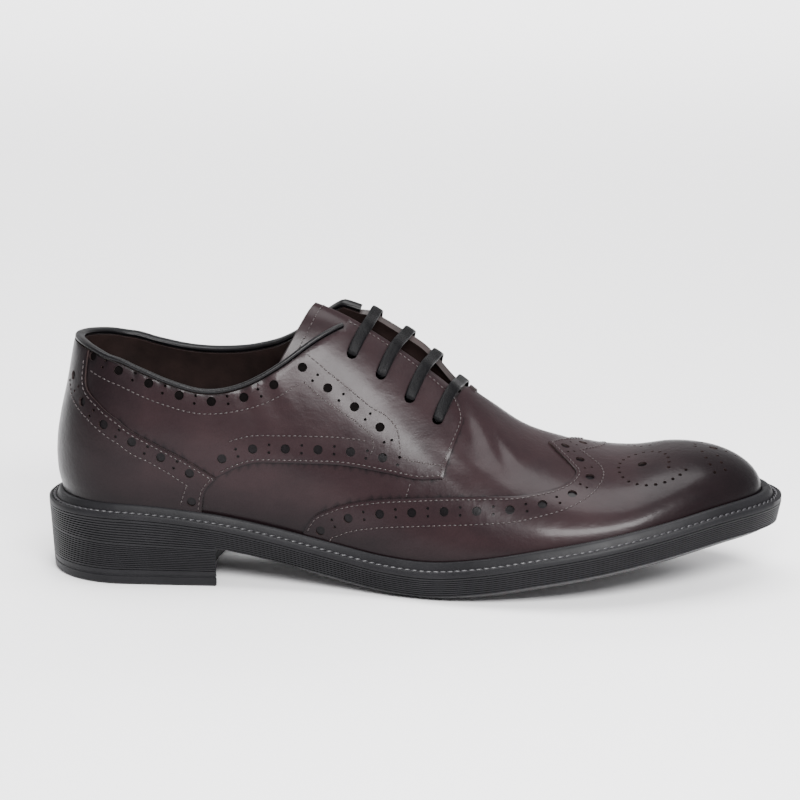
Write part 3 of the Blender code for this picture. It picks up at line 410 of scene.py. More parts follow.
def on_form(p, q, offset):
    """Points at an offset from the form, positive to the outside."""
    p, q = np.broadcast_arrays(np.asarray(p, float), np.asarray(q, float))
    return form(p, q) + outward(p, q) * np.asarray(offset, float)[..., None]


print("crown at the facing in mm:", np.round(form(0.4 * SOLE_LENGTH, 0.0) * 1000, 1))

# %% [markdown]
# ## Seams of the panels
# A brogue is cut from flat leather: a vamp, a wing cap over the toe, two quarters that carry
# the facings, and a counter round the heel. Their edges are drawn on the last by a few points
# each, as a share of the length and a share of the way up. A smooth curve runs through them,
# and the inner side's facing lies a little further forward than the outer one's.

# %% Seam tables
# Collar line. Columns: share of the length, outer and inner height as shares of the
# back height, which goes over to the crown's height between two shares of the length
CROWN_FROM = 0.10
CROWN_FULL = 0.40
COLLAR = [
    (0.0213, 0.977, 0.977),
    (0.060, 0.975, 0.962),
    (0.100, 0.938, 0.933),
    (0.140, 0.858, 0.867),
    (0.180, 0.784, 0.814),
    (0.235, 0.718, 0.776),
    (0.280, 0.719, 0.771),
    (0.330, 0.775, 0.805),
    (0.375, 0.859, 0.884),
    (0.400, 0.905, 0.936),
]

# Seams of the panels on the form. Columns: share of the length, share of the way
# up the section from the sole (0) to the crown (1)
COUNTER_SEAM = [(0.083, 0.60), (0.076, 0.43), (0.078, 0.36), (0.095, 0.31), (0.124, 0.25),
                (0.163, 0.21), (0.204, 0.175), (0.245, 0.135)]
COUNTER_FOOT = [(0.245, 0.135), (0.229, 0.09), (0.223, 0.00)]
QUARTER_LOW = [(0.245, 0.135), (0.267, 0.165), (0.291, 0.19), (0.331, 0.21), (0.371, 0.23),
               (0.425, 0.26), (0.478, 0.285), (0.519, 0.305), (0.549, 0.34)]
QUARTER_FRONT = [(0.549, 0.34), (0.556, 0.43), (0.564, 0.52), (0.570, 0.60), (0.572, 0.66),
                 (0.568, 0.710), (0.560, 0.748)]
WING_SEAM = [(0.354, 0.00), (0.372, 0.08), (0.399, 0.125), (0.452, 0.185), (0.507, 0.235),
             (0.559, 0.285), (0.612, 0.345), (0.665, 0.42), (0.702, 0.50), (0.719, 0.58),
             (0.724, 0.65), (0.714, 0.72), (0.698, 0.80), (0.684, 0.88)]
SEAM_MIDDLE = 0.12

# The inner side's quarter and facing lie further forward: by this share of the length,
# which comes in between two shares of the length
INNER_FORWARD = 0.024
FORWARD_FROM = 0.30
FORWARD_FULL = 0.45

# Throat and eyelets, with the same columns; the bow is a share of the length
THROAT_EDGE = [(0.415, 0.800), (0.430, 0.800), (0.480, 0.790), (0.560, 0.748)]
THROAT_BOW = 0.003
EYELETS = [(0.422, 0.630), (0.461, 0.608), (0.500, 0.580), (0.538, 0.560)]

# How finely each line is drawn
COLLAR_TURN_STEPS = 16
COLLAR_STEPS = 48
COLLAR_CORNER = 0.35
THROAT_POINTS = 40
THROAT_END_STEPS = 16
SEAM_POINTS = 80
FRONT_POINTS = 50
COUNTER_FOOT_POINTS = 16
WING_POINTS = 140
FOOT_STEPS = 220
TIP_STEPS = 48
FOOT_TURN_STEPS = 60
BACK_STEPS = 40
print("eyelets on each side:", len(EYELETS))


# %% Lines on the last
def way_up(p, height):
    """The share of the way up the section at which the form has this height."""
    section_x = max(p, HEEL_X)
    turn = max(HEEL_X - p, 0) / (HEEL_X - BACK_X) * math.pi / 2
    foot_x = HEEL_X - (HEEL_X - BACK_X) * math.sin(turn) if p < HEEL_X else p
    foot = foot_height(foot_x)
    crown = float(form(section_x, 0.0)[2])
    share = (height - foot) / (crown - foot)
    return math.asin(min(1.0, max(0.0, share))) * 2 / math.pi


def run_along(points):
    """The distance walked along a line, at each of its points."""
    return np.concatenate([[0], np.cumsum(np.linalg.norm(np.diff(points, axis=0), axis=1))])


def smooth_line(points, count):
    """A smooth line through a few points, with evenly spaced points along it."""
    array = np.array(points, float)
    scaled = array * [1.0, DOMAIN_HEIGHT / SOLE_LENGTH]
    run = run_along(scaled)
    table = [(s, a, b) for s, (a, b) in zip(run / run[-1], points)]
    at = np.linspace(0, 1, count)
    return list(zip(curve(table, at, 1), curve(table, at, 2)))


def seam(points, side, count, forward=INNER_FORWARD):
    """A panel's seam on one side of the shoe, as (p, q)."""
    line = []
    for share, up in smooth_line(points, count):
        part = min(1.0, max(0.0, (share - FORWARD_FROM) / (FORWARD_FULL - FORWARD_FROM)))
        ahead = forward * part if side > 0 else 0.0
        line.append(((share + ahead) * SOLE_LENGTH, side * (1 - up)))
    return line


def throat(side):
    """The facing's edge from its top corner to the end of the throat."""
    return seam(THROAT_EDGE, side, THROAT_POINTS)


def collar_scale(share):
    """The height that the collar follows: the back's height, and the crown's further on."""
    part = min(1.0, max(0.0, (share - CROWN_FROM) / (CROWN_FULL - CROWN_FROM)))
    crown = INSTEP_HEIGHT * float(curve(SECTIONS, share))
    return BACK_HEIGHT + (crown - BACK_HEIGHT) * part


def collar(side):
    """The collar from the back seam to the facing's top corner."""
    first = throat(side)[0]
    turns = np.linspace(BACK_X / SOLE_LENGTH, HEEL_CENTRE, COLLAR_TURN_STEPS + 1)
    shares = np.linspace(HEEL_CENTRE, COLLAR[-1][0], COLLAR_STEPS + 1)[1:]
    line = []
    for share in [*turns, *shares]:
        p = share * SOLE_LENGTH
        column = 1 if side < 0 or share == turns[0] else 2
        height = collar_scale(share) * float(curve(COLLAR, share, column))
        line.append((p, side * (1 - way_up(p, height))))
    end = line[-1]
    corner_p = end[0] + (first[0] - end[0]) * (1 - COLLAR_CORNER)
    corner_q = end[1] + (first[1] - end[1]) * COLLAR_CORNER
    return line + [(corner_p, corner_q)]


def wing_line():
    """The wing cap's edge: up the outer side, over its peak and down the inner side."""
    outer = seam(WING_SEAM, -1.0, WING_POINTS, 0.0)
    inner = seam(WING_SEAM, 1.0, WING_POINTS, 0.0)
    shift = np.linspace(0, SEAM_MIDDLE, WING_POINTS) ** 2 / SEAM_MIDDLE
    inner = [(p, q - 2 * s) for (p, q), s in zip(inner, shift)]
    return outer + inner[::-1]


def eyelet_places(side):
    return [seam([(share, up), (share + NORMAL_STEP, up)], side, 2)[0] for share, up in EYELETS]


def throat_end(outer, inner):
    """The short bowed edge across the throat's front end."""
    line = []
    for t in np.linspace(0, 1, THROAT_END_STEPS + 1)[1:-1]:
        bow = THROAT_BOW * SOLE_LENGTH * 4 * t * (1 - t)
        q = outer[1] + (inner[1] - outer[1]) * t
        line.append((outer[0] + (inner[0] - outer[0]) * t + bow, q))
    return line


def foot_line():
    """Places along the foot of the upper, close together where it turns."""
    turns = TOE_X + (TIP_X - TOE_X) * np.sin(np.linspace(0, math.pi / 2, FOOT_TURN_STEPS))
    return [*np.linspace(BACK_X, TOE_X, FOOT_STEPS), *turns[1:]]


def upper_outline():
    """The whole upper laid flat: its rim, back seam, foot and toe tip."""
    outer = (collar(-1.0) + throat(-1.0))[::-1]
    inner = collar(1.0) + throat(1.0)
    foot = foot_line()
    tip = [(TIP_X, q) for q in np.linspace(-1, 1, TIP_STEPS + 1)[1:-1]]
    back_outer = [(BACK_X, q) for q in np.linspace(outer[-1][1], -1, BACK_STEPS + 1)[1:-1]]
    back_inner = [(BACK_X, q) for q in np.linspace(inner[0][1], 1, BACK_STEPS + 1)[1:-1]]
    end = throat_end(outer[0], inner[-1])[::-1]
    return (end + outer + back_outer + [(p, -1.0) for p in foot] + tip
            + [(p, 1.0) for p in foot[::-1]] + back_inner[::-1] + inner)


def counter_seam(side):
    return seam(COUNTER_SEAM, side, SEAM_POINTS) + counter_foot(side)[1:]


def counter_foot(side):
    return seam(COUNTER_FOOT, side, COUNTER_FOOT_POINTS)


def quarter_seam(side):
    return seam(QUARTER_LOW, side, SEAM_POINTS) + seam(QUARTER_FRONT, side, FRONT_POINTS)[1:]


OUTLINE = upper_outline()
print("points round the upper:", len(OUTLINE))

# %% [markdown]
# ## Walking on the last
# Holes and stitches keep a real distance in millimetres from an edge, so two helpers turn
# distances on the curved form into steps of p and q: one moves a place by a vector, the other
# shifts a whole line to one side.

# %% Helpers on the curved form
TRUE_STEP = 0.0005


def slopes(p, q):
    """How the form moves for a small step of p and of q."""
    q_step = TRUE_STEP / DOMAIN_HEIGHT
    by_p = (form(p + TRUE_STEP, q) - form(p - TRUE_STEP, q)) / (2 * TRUE_STEP)
    by_q = (form(p, q + q_step) - form(p, q - q_step)) / (2 * q_step)
    return by_p, by_q


def moved(place, vector):
    """The place on the form that lies a short vector away."""
    by_p, by_q = slopes(*place)
    step = np.linalg.lstsq(np.stack([by_p, by_q], 1), vector, rcond=None)[0]
    return place[0] + step[0], place[1] + step[1]


def beside(line, distance):
    """A line shifted on the form to the left of its own direction."""
    points = form(*np.array(line).T)
    ways = unit(np.gradient(points, axis=0))
    normals = outward(*np.array(line).T)
    across = np.cross(normals, ways)
    return [moved(place, way * distance) for place, way in zip(line, across)]


def places_at(line, distances):
    """Places at true distances along a line."""
    array = np.array(line)
    run = run_along(form(array[:, 0], array[:, 1]))
    return list(zip(np.interp(distances, run, array[:, 0]), np.interp(distances, run, array[:, 1])))


def read_at(at, run, points):
    """The rows of values at some distances along a line that was walked."""
    return np.stack([np.interp(at, run, column) for column in points.T], 1)


def true_length(line):
    """The length of a line of places, measured on the form."""
    points = form(*np.array(line).T)
    return float(np.linalg.norm(np.diff(points, axis=0), axis=1).sum())


def round_hole(place, radius, sides):
    """A round hole on the form, as a loop of places."""
    by_p, by_q = slopes(*place)
    along = by_p / np.linalg.norm(by_p)
    up = by_q - along * by_q.dot(along)
    up = up / np.linalg.norm(up)
    turns = [2 * math.pi * i / sides for i in range(sides)]
    return [moved(place, radius * (along * math.cos(a) + up * math.sin(a))) for a in turns]


print("wing seam in mm:", round(true_length(wing_line()) * 1000))

# %% [markdown]
# ## Punched holes
# Broguing is a row of punched holes beside each edge: one large hole, then a small pair, and
# so on. One function walks a line with a fixed pitch and gives the loops to cut. The same
# function serves the cap, the counters, the collar, the facings and the quarters.

# %% Rows of punched holes
BIG_HOLE = 0.0019
SMALL_HOLE = 0.00062
PAIR_SPREAD = 0.00155
ROW_PITCH = 0.0131
EYELET_RADIUS = 0.0022
BIG_SIDES = 14
SMALL_SIDES = 7


def punched_row(line, pitch=ROW_PITCH, start=0.004, stop=0.003):
    """Loops of one row: large holes, and a small pair half way between them."""
    at = np.arange(start, true_length(line) - stop, pitch / 2)
    loops = []
    pairs = zip(places_at(line, at), places_at(line, at + TRUE_STEP))
    for number, (place, ahead) in enumerate(pairs):
        if number % 2 == 0:
            loops.append(round_hole(place, BIG_HOLE, BIG_SIDES))
            continue
        way = form(*ahead) - form(*place)
        across = np.cross(outward(*place), way / np.linalg.norm(way))
        for sign in (-1.0, 1.0):
            beyond = moved(place, across * sign * PAIR_SPREAD)
            loops.append(round_hole(beyond, SMALL_HOLE, SMALL_SIDES))
    return loops


print("radius of the large and small holes in mm:", BIG_HOLE * 1000, SMALL_HOLE * 1000)


# %% [markdown]
# ## Creases
# Worn leather keeps soft folds where the foot bends. They are listed one by one in the shoe's
# own sizes: each is a short trough or ridge with a place, a length, a width and a depth, and
# it fades out softly to all sides. The whole upper shares them, so all layers move together.
# The inner side's facing also stands up from the tongue, as it does on a worn shoe.

# %% Creases on the last
# Columns: side, share of the length and way up at its start, the same at its end,
# half width and depth in metres, negative where it stands up
CREASES = [
    (-1.0, 0.560, 0.80, 0.600, 0.52, 0.0045, 0.0009),
    (-1.0, 0.575, 0.92, 0.640, 0.62, 0.0040, -0.0005),
    (-1.0, 0.590, 0.86, 0.640, 0.50, 0.0036, 0.0006),
    (-1.0, 0.545, 0.44, 0.585, 0.36, 0.0030, 0.0006),
    (-1.0, 0.290, 0.50, 0.330, 0.33, 0.0028, 0.0003),
    (-1.0, 0.312, 0.50, 0.350, 0.36, 0.0022, -0.0002),
    (-1.0, 0.262, 0.45, 0.300, 0.30, 0.0024, 0.0003),
    (-1.0, 0.180, 0.46, 0.262, 0.44, 0.0020, 0.0002),
    (-1.0, 0.200, 0.40, 0.270, 0.38, 0.0020, -0.0002),
    (-1.0, 0.400, 0.50, 0.440, 0.42, 0.0026, 0.0002),
    (1.0, 0.575, 0.82, 0.625, 0.55, 0.0045, 0.0009),
    (1.0, 0.600, 0.90, 0.650, 0.60, 0.0040, -0.0005),
    (1.0, 0.300, 0.50, 0.340, 0.33, 0.0030, 0.0006),
    (1.0, 0.330, 0.48, 0.365, 0.35, 0.0026, -0.0004),
    (1.0, 0.190, 0.45, 0.270, 0.42, 0.0022, 0.0004),
]
CREASE_END = 0.35

# How far the inner facing stands up, the shares of the length between which it comes in and
# goes out, and the places q between which it fades out down the side
FACING_LIFT = 0.0052
LIFT_BACK = (0.30, 0.365)
LIFT_FRONT = (0.50, 0.562)
LIFT_SIDE = (0.27, 0.62)


def eased(value, low, high):
    """From 0 to 1 between two values, with a soft start and end."""
    t = np.clip((value - low) / (high - low), 0, 1)
    return t * t * (3 - 2 * t)


def facing_lift(p, q):
    """How far the inner facing stands up from the tongue at each place."""
    share = np.asarray(p) / SOLE_LENGTH
    side = np.where(np.asarray(q) > 0, 1 - eased(np.asarray(q), *LIFT_SIDE), 0.0)
    return FACING_LIFT * side * eased(share, *LIFT_BACK) * (1 - eased(share, *LIFT_FRONT))


def raised(place, height):
    """A point above the form, on the facing where that stands up."""
    return on_form(*place, height + float(facing_lift(*place)))


def crease_depth(p, q):
    """How far the creases push the leather in at each place, less where the facing stands up."""
    points = form(p, q)
    depth = -facing_lift(p, q)
    for side, p0, up0, p1, up1, width, deep in CREASES:
        start = form(p0 * SOLE_LENGTH, side * (1 - up0))
        end = form(p1 * SOLE_LENGTH, side * (1 - up1))
        way = end - start
        t = np.clip(((points - start) @ way) / way.dot(way), 0, 1)
        near = np.linalg.norm(points - start - t[..., None] * way, axis=-1)
        fade = np.exp(-(near / width) ** 2)
        depth += deep * fade * (CREASE_END + (1 - CREASE_END) * np.sin(math.pi * t))
    return depth


def on_last(p, q, offset):
    """Points at an offset from the creased last."""
    return on_form(p, q, np.asarray(offset, float) - crease_depth(np.asarray(p), np.asarray(q)))


print("creases:", len(CREASES))

# %% [markdown]
# ## Cutting leather
# A panel is cut flat: its outline, seams and holes are lines in p and q, and a Delaunay
# triangulation fills what lies between them. The flat piece is then laid on the last twice,
# as its upper and its under side, and walls join the two. So each hole is really punched and
# each edge has its thickness. Close to an edge the top dips a little, as a cut edge does.

# %% Cut and lay a panel
CUT_SPACING = 0.00125
EDGE_DIP = 0.00014
EYELET_SIDES = 16
EDGE_WIDTH = 0.00035
FAR = 2 * SOLE_LENGTH
MERGE = 1e-8
TINY_RISE = 1e-15
GRID_ROOM = 0.75 * CUT_SPACING
INSET_ROOM = 0.8 * EDGE_WIDTH
REGION_ROOM = 2 * CUT_SPACING
SHARP_DEGREES = 38

# Which of a panel's materials its faces have; the top faces have the first one
UNDER_FACES = 1
WALL_FACES = 2
# The fourth material is a painted shadow for faces that another panel covers
SHADOW_FACES = 3


def inside(points, polygon):
    """Which of many places lie inside a polygon."""
    x, y = points[:, :1], points[:, 1:]
    a = np.array(polygon, float)
    b = np.roll(a, -1, axis=0)
    rise = b[:, 1] - a[:, 1]
    rise = np.where(np.abs(rise) < TINY_RISE, TINY_RISE, rise)
    crossing = (a[:, 1] > y) != (b[:, 1] > y)
    reach = (b[:, 0] - a[:, 0]) * (y - a[:, 1]) / rise + a[:, 0]
    return (crossing & (x < reach)).sum(1) % 2 == 1


def near_tree(lines):
    """A search tree of points along some flat lines."""
    points = []
    for line in lines:
        points.extend((p, q * DOMAIN_HEIGHT, 0.0) for p, q in line)
    tree = KDTree(len(points))
    for number, point in enumerate(points):
        tree.insert(point, number)
    tree.balance()
    return tree


def inset_points(loop):
    """Places a little to both sides of a loop, which give a panel's edge its roundness."""
    array = np.array(loop) * [1.0, DOMAIN_HEIGHT]
    ways = unit(np.roll(array, -1, axis=0) - array)
    across = np.stack([-ways[:, 1], ways[:, 0]], 1) * EDGE_WIDTH
    both = np.concatenate([array + across, array - across])
    return [(p, q / DOMAIN_HEIGHT) for p, q in both]


def flat_grid():
    """Evenly spread places over the whole flat domain, in rows that are set off by half."""
    step = CUT_SPACING / DOMAIN_HEIGHT
    grid_q = np.arange(-1, 1, step)
    rows = enumerate(np.arange(BACK_X, TIP_X, CUT_SPACING))
    return [(p, q) for n, p in rows for q in grid_q + (n % 2) * 0.5 * step]


def cut_flat(outline, region, holes):
    """Triangles of a flat piece: inside the outline and the region, without the holes."""
    points = []
    edges = []
    loops = [outline] + ([region] if region else []) + holes
    for loop in loops:
        start = len(points)
        points.extend((p, q * DOMAIN_HEIGHT) for p, q in loop)
        edges.extend((start + i, start + (i + 1) % len(loop)) for i in range(len(loop)))
    tree = near_tree(loops)
    extra = []
    for loop in loops[:2]:
        extra += inset_points(loop)
    for place, room in [(g, GRID_ROOM) for g in GRID] + [(e, INSET_ROOM) for e in extra]:
        if tree.find((place[0], place[1] * DOMAIN_HEIGHT, 0.0))[2] > room:
            points.append((place[0], place[1] * DOMAIN_HEIGHT))
    if region:
        around = np.array(points)
        box_low = np.array(region).min(0) * [1, DOMAIN_HEIGHT] - REGION_ROOM
        box_high = np.array(region).max(0) * [1, DOMAIN_HEIGHT] + REGION_ROOM
        fixed = sum(len(loop) for loop in loops)
        keep = ((around > box_low) & (around < box_high)).all(1)
        keep[:fixed] = True
        points = [tuple(p) for p, k in zip(around, keep) if k]
    found = delaunay_2d_cdt([Vector(p) for p in points], edges, [], 0, MERGE)
    flat = np.array([tuple(v) for v in found[0]]) / [1.0, DOMAIN_HEIGHT]
    faces = np.array([tuple(f) for f in found[2]])
    middles = flat[faces].mean(1)
    keep = inside(middles, outline)
    if region:
        keep &= inside(middles, region)
    for hole in holes:
        low_corner = np.min(hole, axis=0)
        high_corner = np.max(hole, axis=0)
        close = np.nonzero(((middles > low_corner) & (middles < high_corner)).all(1))[0]
        keep[close] &= ~inside(middles[close], hole)
    faces = faces[keep]
    used, renumbered = np.unique(faces, return_inverse=True)
    return flat[used], renumbered.reshape(faces.shape)


def border_edges(faces):
    """The directed edges that belong to one triangle only."""
    sides = np.concatenate([faces[:, [0, 1]], faces[:, [1, 2]], faces[:, [2, 0]]])
    known = {(int(a), int(b)) for a, b in sides}
    return [(a, b) for a, b in known if (b, a) not in known]


def long_border(rim):
    """The points of the long borders, without those of the punched holes."""
    after = dict(rim)
    found = []
    while after:
        start, here = after.popitem()
        loop = [start]
        while here in after:
            loop.append(here)
            here = after.pop(here)
        if len(loop) > 2 * EYELET_SIDES:
            found += loop
    return found


def dressed(name, mesh):
    """Link a finished mesh as a piece that rides on the shoe."""
    piece = bpy.data.objects.new(name, mesh)
    bpy.context.scene.collection.objects.link(piece)
    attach(piece, "root")
    return piece


def laid(name, flat, faces, top, bottom, under=None, shadow_regions=(), shade_regions=()):
    """Lay a flat piece on the last with two sides and walls, with painted shade where another panel
    covers it.
    """
    rim = border_edges(faces)
    at_edge = np.zeros(len(flat), bool)
    at_edge[long_border(rim)] = True
    dip = np.where(at_edge, EDGE_DIP, 0.0)
    upper = on_last(flat[:, 0], flat[:, 1], top - dip)
    lower = on_last(flat[:, 0], flat[:, 1], np.full(len(flat), bottom))
    count = len(flat)
    polygons = [tuple(f) for f in faces.tolist()]
    backs = [(c + count, b + count, a + count) for a, b, c in faces.tolist()]
    walls = []
    for a, b in rim:
        same_back = max(flat[a][0], flat[b][0]) < BACK_X + SNAP
        same_tip = min(flat[a][0], flat[b][0]) > TIP_X - SNAP
        if not (same_back or same_tip):
            walls.append((b, a, a + count, b + count))
    mesh = bpy.data.meshes.new(name)
    mesh.from_pydata(np.concatenate([upper, lower]).tolist(), [], polygons + backs + walls)
    for material in (LEATHER, under or LEATHER, RAW, SHADED):
        mesh.materials.append(material)
    indices = np.zeros(len(mesh.polygons), np.int32)
    indices[len(polygons):len(polygons) + len(backs)] = UNDER_FACES
    indices[len(polygons) + len(backs):] = WALL_FACES
    # Faces that another panel covers take a matt black painted shadow, so the holes above look deep
    hidden = np.zeros(len(flat), bool)
    for region in shadow_regions:
        hidden |= inside(flat, region)
    indices[:len(polygons)][hidden[faces].all(1)] = SHADOW_FACES
    mesh.polygons.foreach_set("material_index", indices)
    burnish_and_shade = mesh.attributes.new("burnish_and_shade", "FLOAT", "POINT")
    # Where another panel lies on top, the dark amount is raised: painted shade, not wax
    amount = burnish_at(flat, at_edge)
    for region in shade_regions:
        amount[inside(flat, region)] = UNDER_PANEL_SHADE
    burnish_and_shade.data.foreach_set("value", np.tile(amount, 2))
    mesh.shade_smooth()
    mesh.set_sharp_from_angle(angle=math.radians(SHARP_DEGREES))
    print(name, "triangles:", len(polygons) * 2 + len(walls) * 2)
    return dressed(name, mesh)


GRID = flat_grid()
print("places in the flat grid:", len(GRID))


# %% [markdown]
# ## Burnish and painted shade
# The maker has darkened the leather with wax at the toe, at the back and beside the welt. The
# amount is worked out for each point of a panel and kept with the mesh, and the material
# reads it. A panel's long edges take more wax. Leather that another panel covers gets painted
# shade, almost black, so that the punched holes above it look deep.

# %% Burnish of a point
TOE_BURNISH = 0.80
BACK_BURNISH = 0.15
FOOT_BURNISH = 0.13
EDGE_BURNISH = 0.6
# Painted shade for leather that another panel covers, on the same scale as the wax
UNDER_PANEL_SHADE = 0.92
TOE_SPREAD = 0.6
BACK_SPREAD = 0.75
BACK_DEPTH = 0.98
FOOT_DEPTH = 0.85


def burnish_at(flat, at_edge):
    """From 0, the plain colour, to 1, black with wax."""
    share = flat[:, 0] / SOLE_LENGTH
    up = 1 - np.abs(flat[:, 1])
    toe = np.clip((share - TOE_BURNISH) / (1 - TOE_BURNISH), 0, 1) ** TOE_SPREAD
    back = BACK_DEPTH * np.clip((BACK_BURNISH - share) / BACK_BURNISH, 0, 1) ** BACK_SPREAD
    foot = FOOT_DEPTH * np.clip((FOOT_BURNISH - up) / FOOT_BURNISH, 0, 1)
    return 1 - (1 - toe) * (1 - back) * (1 - foot) * (1 - EDGE_BURNISH * at_edge)


ends = np.array([[TIP_X, 0.0], [MIDDLE_X, 0.0], [BACK_X, 0.0]])
print("burnish at the tip, the middle and the back:", burnish_at(ends, np.zeros(3)).round(2))


# %% [markdown]
# ## Materials
# The leather is polished calf: a dark burgundy that goes to black where it is burnished and
# under painted shade, with a fine grain and small pores in the bump, faint cloudy streaks of
# wax in the roughness, and a coat for the shine. Each finish is a small node tree, and what is
# the same all over the piece is set straight on the shader.

# %% Material helpers
def new_material(name, color, roughness):
    """A plain material, with its node tree and its shader."""
    made = bpy.data.materials.new(name)
    made.use_nodes = True
    shader = made.node_tree.nodes["Principled BSDF"]
    shader.inputs["Base Color"].default_value = (*color, 1.0)
    shader.inputs["Roughness"].default_value = roughness
    return made, made.node_tree, shader


def add_node(tree, kind, **settings):
    """A new node, with values for its sockets or its own settings."""
    node = tree.nodes.new(kind)
    for key, value in settings.items():
        if key in node.inputs:
            node.inputs[key].default_value = value
        else:
            setattr(node, key, value)
    return node


def noise(tree, scale, detail=3.0, roughness=0.5, stretch=(1.0, 1.0, 1.0)):
    """Soft noise in the shoe's own metres."""
    place = add_node(tree, "ShaderNodeTexCoord")
    mapping = add_node(tree, "ShaderNodeMapping")
    mapping.inputs["Scale"].default_value = stretch
    made = add_node(tree, "ShaderNodeTexNoise", Scale=scale, Detail=detail, Roughness=roughness)
    tree.links.new(place.outputs["Object"], mapping.inputs["Vector"])
    tree.links.new(mapping.outputs["Vector"], made.inputs["Vector"])
    return made.outputs["Fac"]


def pores(tree, scale):
    """Small rounded cells, as in grained leather."""
    place = add_node(tree, "ShaderNodeTexCoord")
    made = add_node(tree, "ShaderNodeTexVoronoi", Scale=scale)
    made.feature = "SMOOTH_F1"
    tree.links.new(place.outputs["Object"], made.inputs["Vector"])
    return made.outputs["Distance"]


def ramp(tree, source, stops):
    """Turn a number into colours or shades through a few stops."""
    made = add_node(tree, "ShaderNodeValToRGB")
    made.color_ramp.elements[0].position = stops[0][0]
    made.color_ramp.elements[0].color = (*stops[0][1], 1.0)
    made.color_ramp.elements[1].position = stops[-1][0]
    made.color_ramp.elements[1].color = (*stops[-1][1], 1.0)
    for position, color in stops[1:-1]:
        made.color_ramp.elements.new(position).color = (*color, 1.0)
    tree.links.new(source, made.inputs["Fac"])
    return made.outputs["Color"]


def mixed(tree, share, first, second):
    """Mix two colours by a share, where each may be a colour or a socket."""
    made = add_node(tree, "ShaderNodeMix", data_type="RGBA")
    tree.links.new(share, made.inputs["Factor"])
    for socket, value in (("A", first), ("B", second)):
        slot = [i for i in made.inputs if i.name == socket and i.type == "RGBA"][0]
        if isinstance(value, tuple):
            slot.default_value = (*value, 1.0)
        else:
            tree.links.new(value, slot)
    return [o for o in made.outputs if o.type == "RGBA"][0]


def uneven_shine(tree, shader, source, low, high):
    """Let a noise move the roughness between two values."""
    rough = add_node(tree, "ShaderNodeMapRange")
    rough.inputs["To Min"].default_value = low
    rough.inputs["To Max"].default_value = high
    tree.links.new(source, rough.inputs["Value"])
    tree.links.new(rough.outputs["Result"], shader.inputs["Roughness"])


def bumped(tree, shader, heights):
    """Chain bumps, each with its height source, strength and depth in metres."""
    normal = None
    for source, strength, distance in heights:
        made = add_node(tree, "ShaderNodeBump", Strength=strength, Distance=distance)
        tree.links.new(source, made.inputs["Height"])
        if normal:
            tree.links.new(normal, made.inputs["Normal"])
        normal = made.outputs["Normal"]
    tree.links.new(normal, shader.inputs["Normal"])


print("material helpers ready")

# %% Polished leather
BURGUNDY = (0.0088, 0.0046, 0.0056)
BURGUNDY_LIGHT = (0.0165, 0.0086, 0.0097)
WAX_BLACK = (0.0012, 0.0010, 0.0014)
RAW_EDGE = (0.0120, 0.0052, 0.0048)
LINING_BROWN = (0.0095, 0.0052, 0.0046)
# Colour of the painted shadow on leather seen through another panel's holes
SHADOW_BLACK = (0.0022, 0.0016, 0.0016)
THREAD_BROWN = (0.0160, 0.0095, 0.0095)
TONE_SPREAD = 0.35


def polished_leather():
    """Burgundy with cloudy tones, black with wax and with painted shade under other panels, with
    streaks of wax.
    """
    made, tree, shader = new_material("polished burgundy leather", BURGUNDY, 0.30)
    cloud = noise(tree, 26.0, 4.0, 0.6, (1.0, 1.0, 1.8))
    color = ramp(tree, cloud, [(0.30, BURGUNDY), (0.72, BURGUNDY_LIGHT)])
    # The attribute holds the wax and the painted shade under other panels
    burnish_and_shade = add_node(tree, "ShaderNodeAttribute", attribute_name="burnish_and_shade")
    color = mixed(tree, burnish_and_shade.outputs["Fac"], color, WAX_BLACK)
    tree.links.new(color, shader.inputs["Base Color"])
    streak = noise(tree, 90.0, 4.0, 0.65, (1.0, 1.0, 2.4))
    uneven_shine(tree, shader, streak, 0.24, 0.42)
    shader.inputs["Coat Weight"].default_value = 0.08
    shader.inputs["Coat Roughness"].default_value = 0.16
    shader.inputs["Specular IOR Level"].default_value = 0.08
    # Soft hollows, pores and fine grain, each with its strength and its depth in metres
    bumped(tree, shader, [
        (noise(tree, 70.0, 3.0, 0.55), 0.45, 0.0009),
        (pores(tree, 1500.0), 0.16, 0.00016),
        (noise(tree, 520.0, 5.0, 0.6, (1.0, 1.0, 1.6)), 0.20, 0.00030),
    ])
    return made


def plain_finish(name, color, roughness, grain_scale, grain_depth, specular=None):
    """A matt or satin finish with a slightly uneven tone and a fine bump."""
    made, tree, shader = new_material(name, color, roughness)
    if specular is not None:
        shader.inputs["Specular IOR Level"].default_value = specular
    dark = tuple(c * (1 - TONE_SPREAD) for c in color)
    light = tuple(c * (1 + TONE_SPREAD) for c in color)
    tone = ramp(tree, noise(tree, grain_scale * 0.12, 3.0), [(0.3, dark), (0.7, light)])
    tree.links.new(tone, shader.inputs["Base Color"])
    bumped(tree, shader, [(noise(tree, grain_scale, 4.0, 0.6), 0.35, grain_depth)])
    return made


LEATHER = polished_leather()
LINING = plain_finish("brown lining leather", LINING_BROWN, 0.62, 900.0, 0.00020, 0.16)
# Painted shadow: matt near-black for leather under another panel, seen through its holes
SHADED = plain_finish("painted shadow under a panel", SHADOW_BLACK, 0.85, 900.0, 0.00020, 0.04)
RAW = plain_finish("raw leather edge", RAW_EDGE, 0.55, 1400.0, 0.00020)
THREAD = plain_finish("waxed thread", THREAD_BROWN, 0.30, 2600.0, 0.00010)
print("materials:", LEATHER.name, LINING.name, THREAD.name)

# %% [markdown]
# ## The upper's pieces
# The shell is the vamp and the lining in one: the whole outline, with the eyelets punched. On
# it lie the quarters with their facings, the counters round the heel and the wing cap with its
# peak. Each has its rows of holes a few millimetres inside its edge.

# %% Hole rows of each panel
ROW_INSET = 0.0058
SUNK = 0.0001

